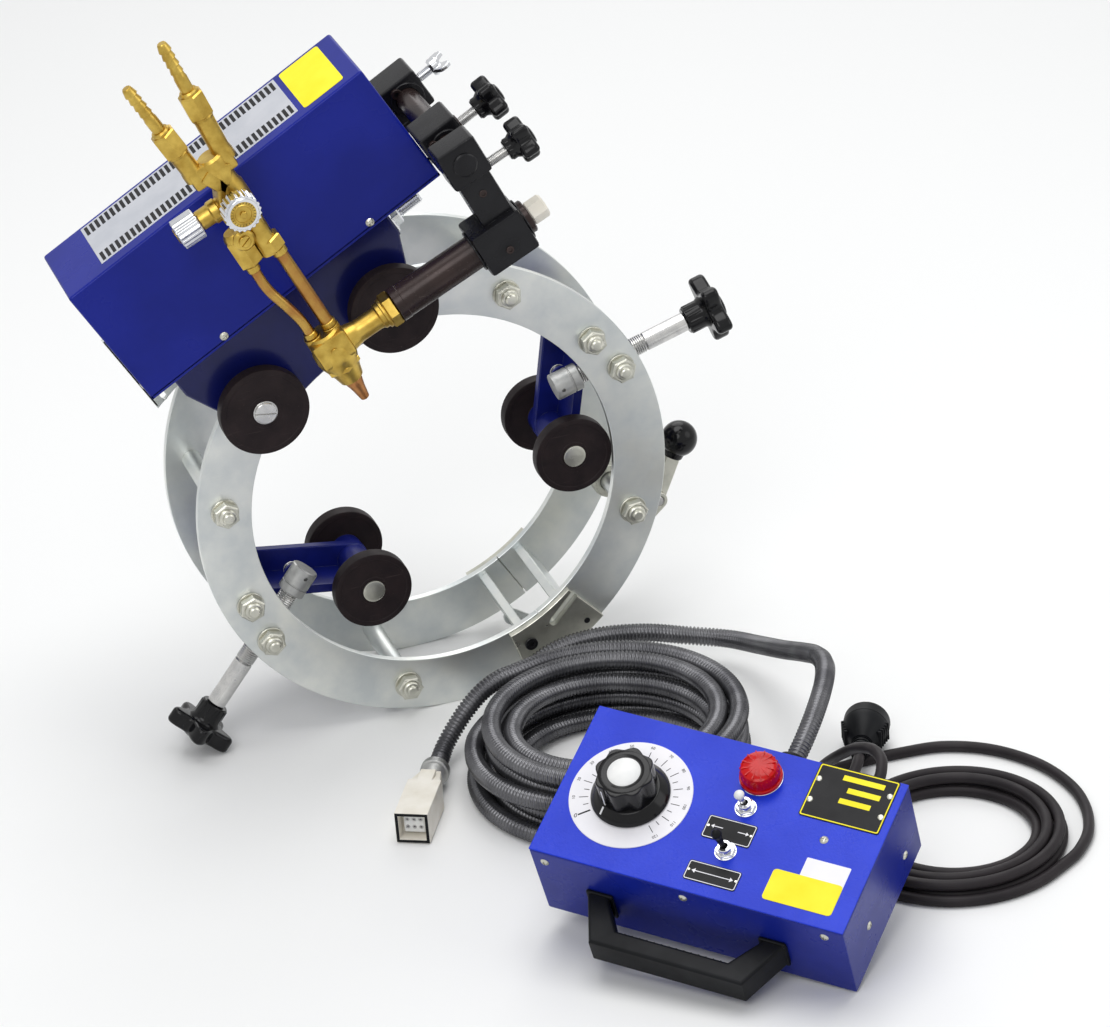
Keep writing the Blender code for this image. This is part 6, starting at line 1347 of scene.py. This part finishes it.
def makeValves():
    valve = torch["valve"]
    place = swivelFrame @ shift(torch["x"], 0, 0)
    core = lathe([(9.2, 121), (11, 119), (11.6, 112), (10.6, 104), (10.4, 96), (12, 90), (12, 66), (10.8, 61), (9, 54),
                  (8.6, 44), (9, 36), (9, 26)], 48)
    put(core, shift(3.2, 0, 0))
    hexLow = put(hexagon(19, 26.2, 38, 1.2), shift(5.4, 0, 0))
    cross = [put(block((-6.4, -10.4, -19), (6.4, 10.4, 19), 3, 2), shift(0.5, 0, 96) @ turned(lean, "Y"))
             for lean in (26, -26)]
    bridge = block((-19, -8.4, 103), (19, 8.4, 120.6), 3, 2)
    window = block((-4.4, -12, 101.6), (4.4, 12, 110.4), 0.8)
    bridge = drilled(bridge, [window])
    lobe = put(lathe([(7, 11), (8.6, 9.4), (9, 6), (9, -6), (8.6, -9.4), (7, -11)], 40),
               shift(-10, 0, 50) @ againstY)
    union = put(hexagon(18, 26.2, 53, 1.4), shift(-14.4, 0, 0))
    unionTop = put(lathe([(6.8, 58), (8.6, 55), (9, 52)], 40), shift(-14.4, 0, 0))
    plugScrew = put(slotScrew(4.6, 2, 1.1, 20), shift(-10, -11, 50) @ againstY)
    seat = put(lathe([(8.4, 16.7), (9, 16), (9, 8), (10.2, 6), (10.2, 0)], 48), shift(0, 0, valve) @ againstY)
    stub = put(lathe([(7.6, 30), (8.1, 29.4), (8.1, 20), (9.4, 18.6), (9.4, 13), (8.4, 12), (8.4, 0)], 48),
               shift(0, 0, valve) @ againstX)
    tails = []
    for side, rise in ((-1, 4), (1, 18)):
        start = shift(side * torch["tails"], 0, 110) @ turned(side * torch["lean"], "Y")
        tails += hoseTail(44 + rise, start)
    parts = [core, hexLow, bridge, lobe, union, unionTop, seat, stub, plugScrew] + cross + tails
    make("torchBody", {"brass": parts}, "torch", place)
    face = shift(0, -32.3, valve) @ againstY
    front = putAll(flutedGrip(15, 15, 22, 1.1), shift(0, -32.3, valve) @ alongY)
    ringFace = put(sleeve(10.2, 12.4, 0, 0.8, 0.3, 56), shift(0, -32.1, valve) @ againstY)
    disc = put(lathe([(2.2, 1.0), (2.6, 0.5), (6.2, 0.4), (6.6, 0.9), (7.6, 0.9), (8, 0.4), (10.3, 0.3), (10.3, -0.6)],
                     56), face)
    spindle = put(hexagon(5, 0, 2.6, 0.4), face)
    marks = around(24, block((8.3, -0.2, 0.2), (9.9, 0.2, 0.5), 0.05), "Z", face)
    make("frontValveKnob", {"chrome": front + [ringFace], "brass": [disc, spindle], "labelBlack": marks},
         "front_valve", place)
    side = putAll(flutedGrip(12.5, 20, 18, 1.0), shift(-50.3, 0, valve) @ alongX)
    cap = put(lathe([(5, 0.9), (6.4, 0.3), (6.4, -0.4)], 40), shift(-50.3, 0, valve) @ againstX)
    make("sideValveKnob", {"chrome": side, "brass": [cap]}, "side_valve", place)


makeHolder()
makeClamps()
makeTorchBar()
makeTorchHead()
makePipes()
makeValves()
print("torch and its holder made")

# Control box: folded housing, screwed panel, and what the panel carries

case = {"length": 254, "width": 135.5, "height": 82, "sheet": 1.5, "lip": 22, "hoseGland": (148, 14, 20),
        "cableGland": (216, 8, 16), "glandRise": 42, "dial": (56.3, 66.5), "dialRadius": 47.5, "lamp": (145.5, 109.5),
        "power": (144.5, 80.8), "direction": (144.5, 40.9), "rating": (184, 87, 248, 135), "panelScrew": (211, 71.7)}


def patch(x0, y0, x1, y1, low, high, radius=2):
    return slab(roundedPatch(x0, y0, x1, y1, radius), low, high, (), 0.02)


def outlined(x0, y0, x1, y1, low, high, inset, width):
    # A thin printed line that runs round a plate inside its edge
    inner = roundedPatch(x0 + inset + width, y0 + inset + width, x1 - inset - width, y1 - inset - width, 1.2)
    return slab(roundedPatch(x0 + inset, y0 + inset, x1 - inset, y1 - inset, 1.6), low, high, (inner,), 0.02)


def arrow(x0, x1, y, low, high, size=1.7):
    # A plain arrow; its head lies at the second end
    way = 1 if x1 > x0 else -1
    return slab([(x0, y - 0.35), (x1 - way * size * 1.4, y - 0.35), (x1 - way * size * 1.4, y - size), (x1, y),
                 (x1 - way * size * 1.4, y + size), (x1 - way * size * 1.4, y + 0.35), (x0, y + 0.35)], low, high, (),
                0.02)


def figure(text, size):
    curve = bpy.data.curves.new("figure", "FONT")
    curve.body = text
    curve.size = size
    curve.align_x = "CENTER"
    curve.align_y = "CENTER"
    curve.extrude = 0.03
    curve.resolution_u = 4
    return meshOf(linked("figure", curve))


def makeHousing():
    c = case
    outer = block((0, 0, 0), (c["length"], c["width"], 80.2), 1.5, 2)
    inner = block((c["sheet"], c["sheet"], c["sheet"]), (c["length"] - c["sheet"], c["width"] - c["sheet"], 90), 0.9)
    shell = drilled(outer, [inner])
    seam = block((c["length"] - 3.4, 0.6, 2), (c["length"] - 2.9, 3, 79), 0.05)
    screws = [put(crossScrew(3.5, 1.7), shift(x, 0, c["height"] - below) @ againstY)
              for x, below in ((11, 14), (125, 11), (238, 11.5))]
    screws += [put(crossScrew(3.5, 1.7), shift(c["length"], y, c["height"] - below) @ alongX)
               for y, below in ((108, 55), (37, 45))]
    screws += [put(crossScrew(3.5, 1.7), shift(0, y, c["height"] - below) @ againstX) for y,
               below in ((108, 55), (37, 45))]
    screws += [put(crossScrew(3.5, 1.7), shift(x, c["width"], c["height"] - 14) @ alongY) for x in (20, 110, 190, 240)]
    x, radius, length = c["hoseGland"]
    hoseGland = putAll([hexagon(25.4, 0, 7, 1), rod(13.4, 6.6, 10, 0.6)] + ribbedNut(radius, 9.6, length),
                       shift(x, c["width"], c["glandRise"]) @ alongY)
    x, radius, length = c["cableGland"]
    cableGland = putAll([hexagon(14.6, 0, 5, 0.8)] + ribbedNut(radius, 4.6, length),
                        shift(x, c["width"], c["glandRise"]) @ alongY)
    # The housing takes the darker copy of the box's enamel, with its painted shade
    make("controlHousing", {"shadedCaseBlue": [shell, seam], "zincWarm": screws, "mouldedBlack": hoseGland + cableGland},
         "machine", boxFrame)


def ribbedNut(radius, low, high):
    # A domed cable nut with fine grip ribs
    body = lathe([(radius * 0.66, high), (radius * 0.86, high - 1.4), (radius - 0.5, high - 4), (radius - 0.5, low)],
                 48)
    ribs = around(20, block((radius - 1.4, -0.5, low + 0.6), (radius, 0.5, high - 4), 0.3))
    return [body] + ribs


def makePanel():
    c = case
    top = c["height"]
    inset = c["sheet"] + 0.4
    lid = block((0, 0, top - c["sheet"]), (c["length"], c["width"], top), 0.7, 2)
    drills = [bore(radius, top - 4, top + 3, shift(*place, 0), 40) for place, radius in
              ((c["dial"], 5.5), (c["lamp"], 9), (c["power"], 3.1), (c["direction"], 3.1))]
    lid = drilled(lid, drills)
    lipOuter = roundedPatch(inset, inset, c["length"] - inset, c["width"] - inset, 1.2)
    lipInner = roundedPatch(inset + 1.3, inset + 1.3, c["length"] - inset - 1.3, c["width"] - inset - 1.3, 0.8)
    lip = slab(lipOuter, top - c["lip"], top - 0.8, (lipInner,), 0.05)
    bushes = []
    for place in (c["power"], c["direction"]):
        bush = lathe([(3, 90), (4.9, 90), (5.5, 89.4), (5.5, 88.6), (4.9, 88.4), (4.9, 87.9), (5.5, 87.7), (5.5, 86.9),
                      (4.9, 86.7), (4.9, 86.2), (5.5, 86), (5.5, 80), (3, 80)], 40, closed=True)
        washer = rod(8.4, 82, 82.9, 0.2, 40)
        nut = hexagon(13.4, 82.8, 86, 0.7)
        bushes += putAll((drilled(nut, [rod(3.4, 80, 92, 0.01)]), drilled(washer, [rod(3.4, 80, 92, 0.01)]), bush),
                         shift(*place, 0))
    x, y = c["dial"]
    dial = put(drilled(rod(c["dialRadius"], top - 0.2, top + 0.9, 0.25, 96), [rod(5.5, top - 3, top + 3, 0.01, 40)]),
               shift(x, y, 0))
    marks = []
    sweepStart, sweep, divisions = 222, -264, 24
    for i in range(divisions + 1):
        angle = sweepStart + sweep * i / divisions
        heading = shift(x, y, top + 0.88) @ turned(angle, "Z")
        long = i % 2 == 0
        width = 0.65 if i == 0 else 0.28
        marks.append(put(block((32.5, -width, 0), (42.4 if i == 0 else 39.6 if long else 36.6, width, 0.12), 0.02),
                         heading))
        if long:
            number = put(figure(str(i * 5) if i else "0", 3.4 if i else 5.2), turned(-90 if i else -angle + 6, "Z"))
            marks.append(put(number, heading @ shift(43.6 if i else 44.4, 0, 0.1)))
    x0, y0, x1, y1 = c["rating"]
    raised, ink = (top - 0.1, top + 0.6), (top + 0.5, top + 0.68)
    blacks = [patch(x0, y0, x1, y1, *raised), patch(121, 48, 160, 68, *raised),
              patch(122, 10, 164, 27, *raised)]
    yellows = [outlined(x0, y0, x1, y1, *ink, 0.7, 0.9), patch(185, 11, 240, 38, top - 0.1, top + 0.4, 3)]
    yellows += [patch(x0 + left, y1 - down - 4.6, x0 + right, y1 - down, *ink, 0.3)
                for left, right, down in ((21, 54, 5.6), (28, 54, 15.6), (25, 50, 25.6))]
    whites = [patch(205, 33, 240, 54, top - 0.1, top + 0.3, 0.8), outlined(121, 48, 160, 68, *ink, 0.6, 0.6),
              outlined(122, 10, 164, 27, *ink, 0.6, 0.6)]
    whites += [arrow(135, 125.4, 59, *ink), arrow(147, 156, 59, *ink),
               arrow(143, 126.4, 18.5, *ink, 2), arrow(143, 159.8, 18.5, *ink, 2)]
    rivets = [put(lathe([(0, 1.3), (1.2, 1.2), (2.2, 0.8), (2.6, 0)], 24), shift(px, py, top + 0.4)) for px, py in
              ((x0 + 3.6, y0 + 15), (x0 + 3.6, y1 - 14), (x1 - 3.6, y0 + 15), (x1 - 3.6, y1 - 14))]
    rivets += [put(rod(1.1, 0, 0.5, 0.2, 16), shift(px, py, top + 0.5)) for px, py in
               ((123.4, 58.5), (157.8, 58.5), (124.2, 18.5), (162, 18.5))]
    screw = put(crossScrew(3.4, 1.8), shift(*c["panelScrew"], top))
    collar = put(sleeve(9.2, 16.8, top, top + 1.4, 0.5, 56), shift(*c["lamp"], 0))
    # The panel takes the lighter copy of the box's enamel, with its painted light
    make("controlPanel", {"litPanelBlue": [lid, lip], "chrome": bushes + [collar], "paperWhite": [dial] + whites,
                          "labelBlack": marks + blacks, "labelYellow": yellows, "zincWarm": rivets + [screw]},
         "machine", boxFrame)


def makeSpeedKnob():
    place = boxFrame @ shift(*case["dial"], 83.6)
    skirt = lathe([(23, 9.2), (24.4, 8.4), (28.6, 3.6), (30, 2), (30.5, 0.8), (30.2, 0.1), (29, 0)], 96)
    grip = slab(waves(23, 2.6, 8, 16, 0.8), 8.6, 29.6, (), 1.1, 2)
    rim = lathe([(15.6, 30.2), (18.4, 30.2), (19.8, 29.6), (19.8, 28), (15.6, 28)], 64, closed=True)
    cap = lathe([(0, 32.4), (4, 32.2), (7.6, 31.7), (10.4, 30.9), (12.4, 29.9), (13.2, 29.2), (13.2, 27)], 64)
    well = lathe([(13.2, 29), (13.7, 29.7), (15.7, 30.1), (15.7, 27), (13.2, 27)], 64, closed=True)
    stem = rod(5, -12, 0.4, 0.2, 32)
    pointer = [put(block((-3.4, -0.75, -0.12), (3.4, 0.75, 0.3), 0.05), turned(-118, "Z") @ shift(26.6, 0, 6.2)
                   @ turned(49.5, "Y")),
               put(block((-0.12, -0.75, -8.6), (0.25, 0.75, 8.6), 0.05), turned(-118, "Z") @ shift(22.75, 0, 18.4))]
    make("speedKnob", {"glossBlack": [skirt, grip, rim, well], "brightSteel": [stem], "whitePlastic": [cap] + pointer},
         "dial", place)


def makeLamp():
    place = boxFrame @ shift(*case["lamp"], 82.3)
    lens = lathe([(0, 17), (6, 16.8), (11.4, 16.1), (13.6, 14.8), (14.6, 12.6), (14.9, 9), (15, 3.6)], 64)
    facets = [put(block((-0.55, -13.4, 16.2), (0.55, 13.4, 16.95), 0.25), turned(30 * i, "Z")) for i in range(6)]
    ribs = around(24, block((14.2, -0.7, 4), (15.15, 0.7, 12.6), 0.3))
    bezel = lathe([(15.6, 3.8), (16.5, 3), (16.5, 0.6), (16, 0)], 64)
    stem = rod(8.6, -14, 0.4, 0.2, 32)
    make("pilotLamp", {"redLens": [lens] + facets + ribs + [bezel], "mouldedBlack": [stem]}, "machine",
         place)


def makeToggle(name, tip):
    place = boxFrame @ shift(*case[name], 84.5) @ turned(-11, "Y")
    tall = 0.74 if name == "power" else 1
    lever = lathe([(r, z * tall) for r, z in ((0, 16.4), (2.7, 16.4), (2.75, 14), (1.9, 4), (1.8, 0), (0, 0))], 32)
    knob = lathe([(r, z * tall) for r, z in ((0, 24.1), (1.8, 23.7), (3.2, 22.4), (4, 20.6), (4.05, 19.4), (3.6, 17.6),
                                             (2.9, 16.2), (2.75, 15.2), (0, 15.2))], 36)
    parts = {"brightSteel": [ball(2.6, 24)], tip: [knob]}
    parts["brightSteel" if name == "power" else tip].append(lever)
    make(f"{name}Toggle", parts, f"{name}_switch", place)


def makeHandle():
    outer = [(41.7, 0), (60.7, -42), (185.1, -42), (204.1, 0)]
    inner = [(187.1, 0), (168.1, -27), (77.7, -27), (58.7, 0)]
    outline = [(x, y - 0.3) for x, y in outer + inner]
    bow = slab(outline, 19, 45, (), 2.6, 3)
    roots = [block((x - 11, -3.4, 17.6), (x + 11, -0.3, 46.4), 1.2, 2) for x in (52.6, 193.2)]
    ribs = [put(block((-0.6, -27.4, 21.4), (0.6, -26.5, 42.6), 0.3), shift(x, 0, 0)) for x in range(84, 164, 6)]
    make("carryHandle", {"mouldedBlack": [bow] + roots + ribs}, "machine", boxFrame)


makeHousing()
makePanel()
makeSpeedKnob()
makeLamp()
makeToggle("power", "whitePlastic")
makeToggle("direction", "mouldedBlack")
makeHandle()
print("control box made")
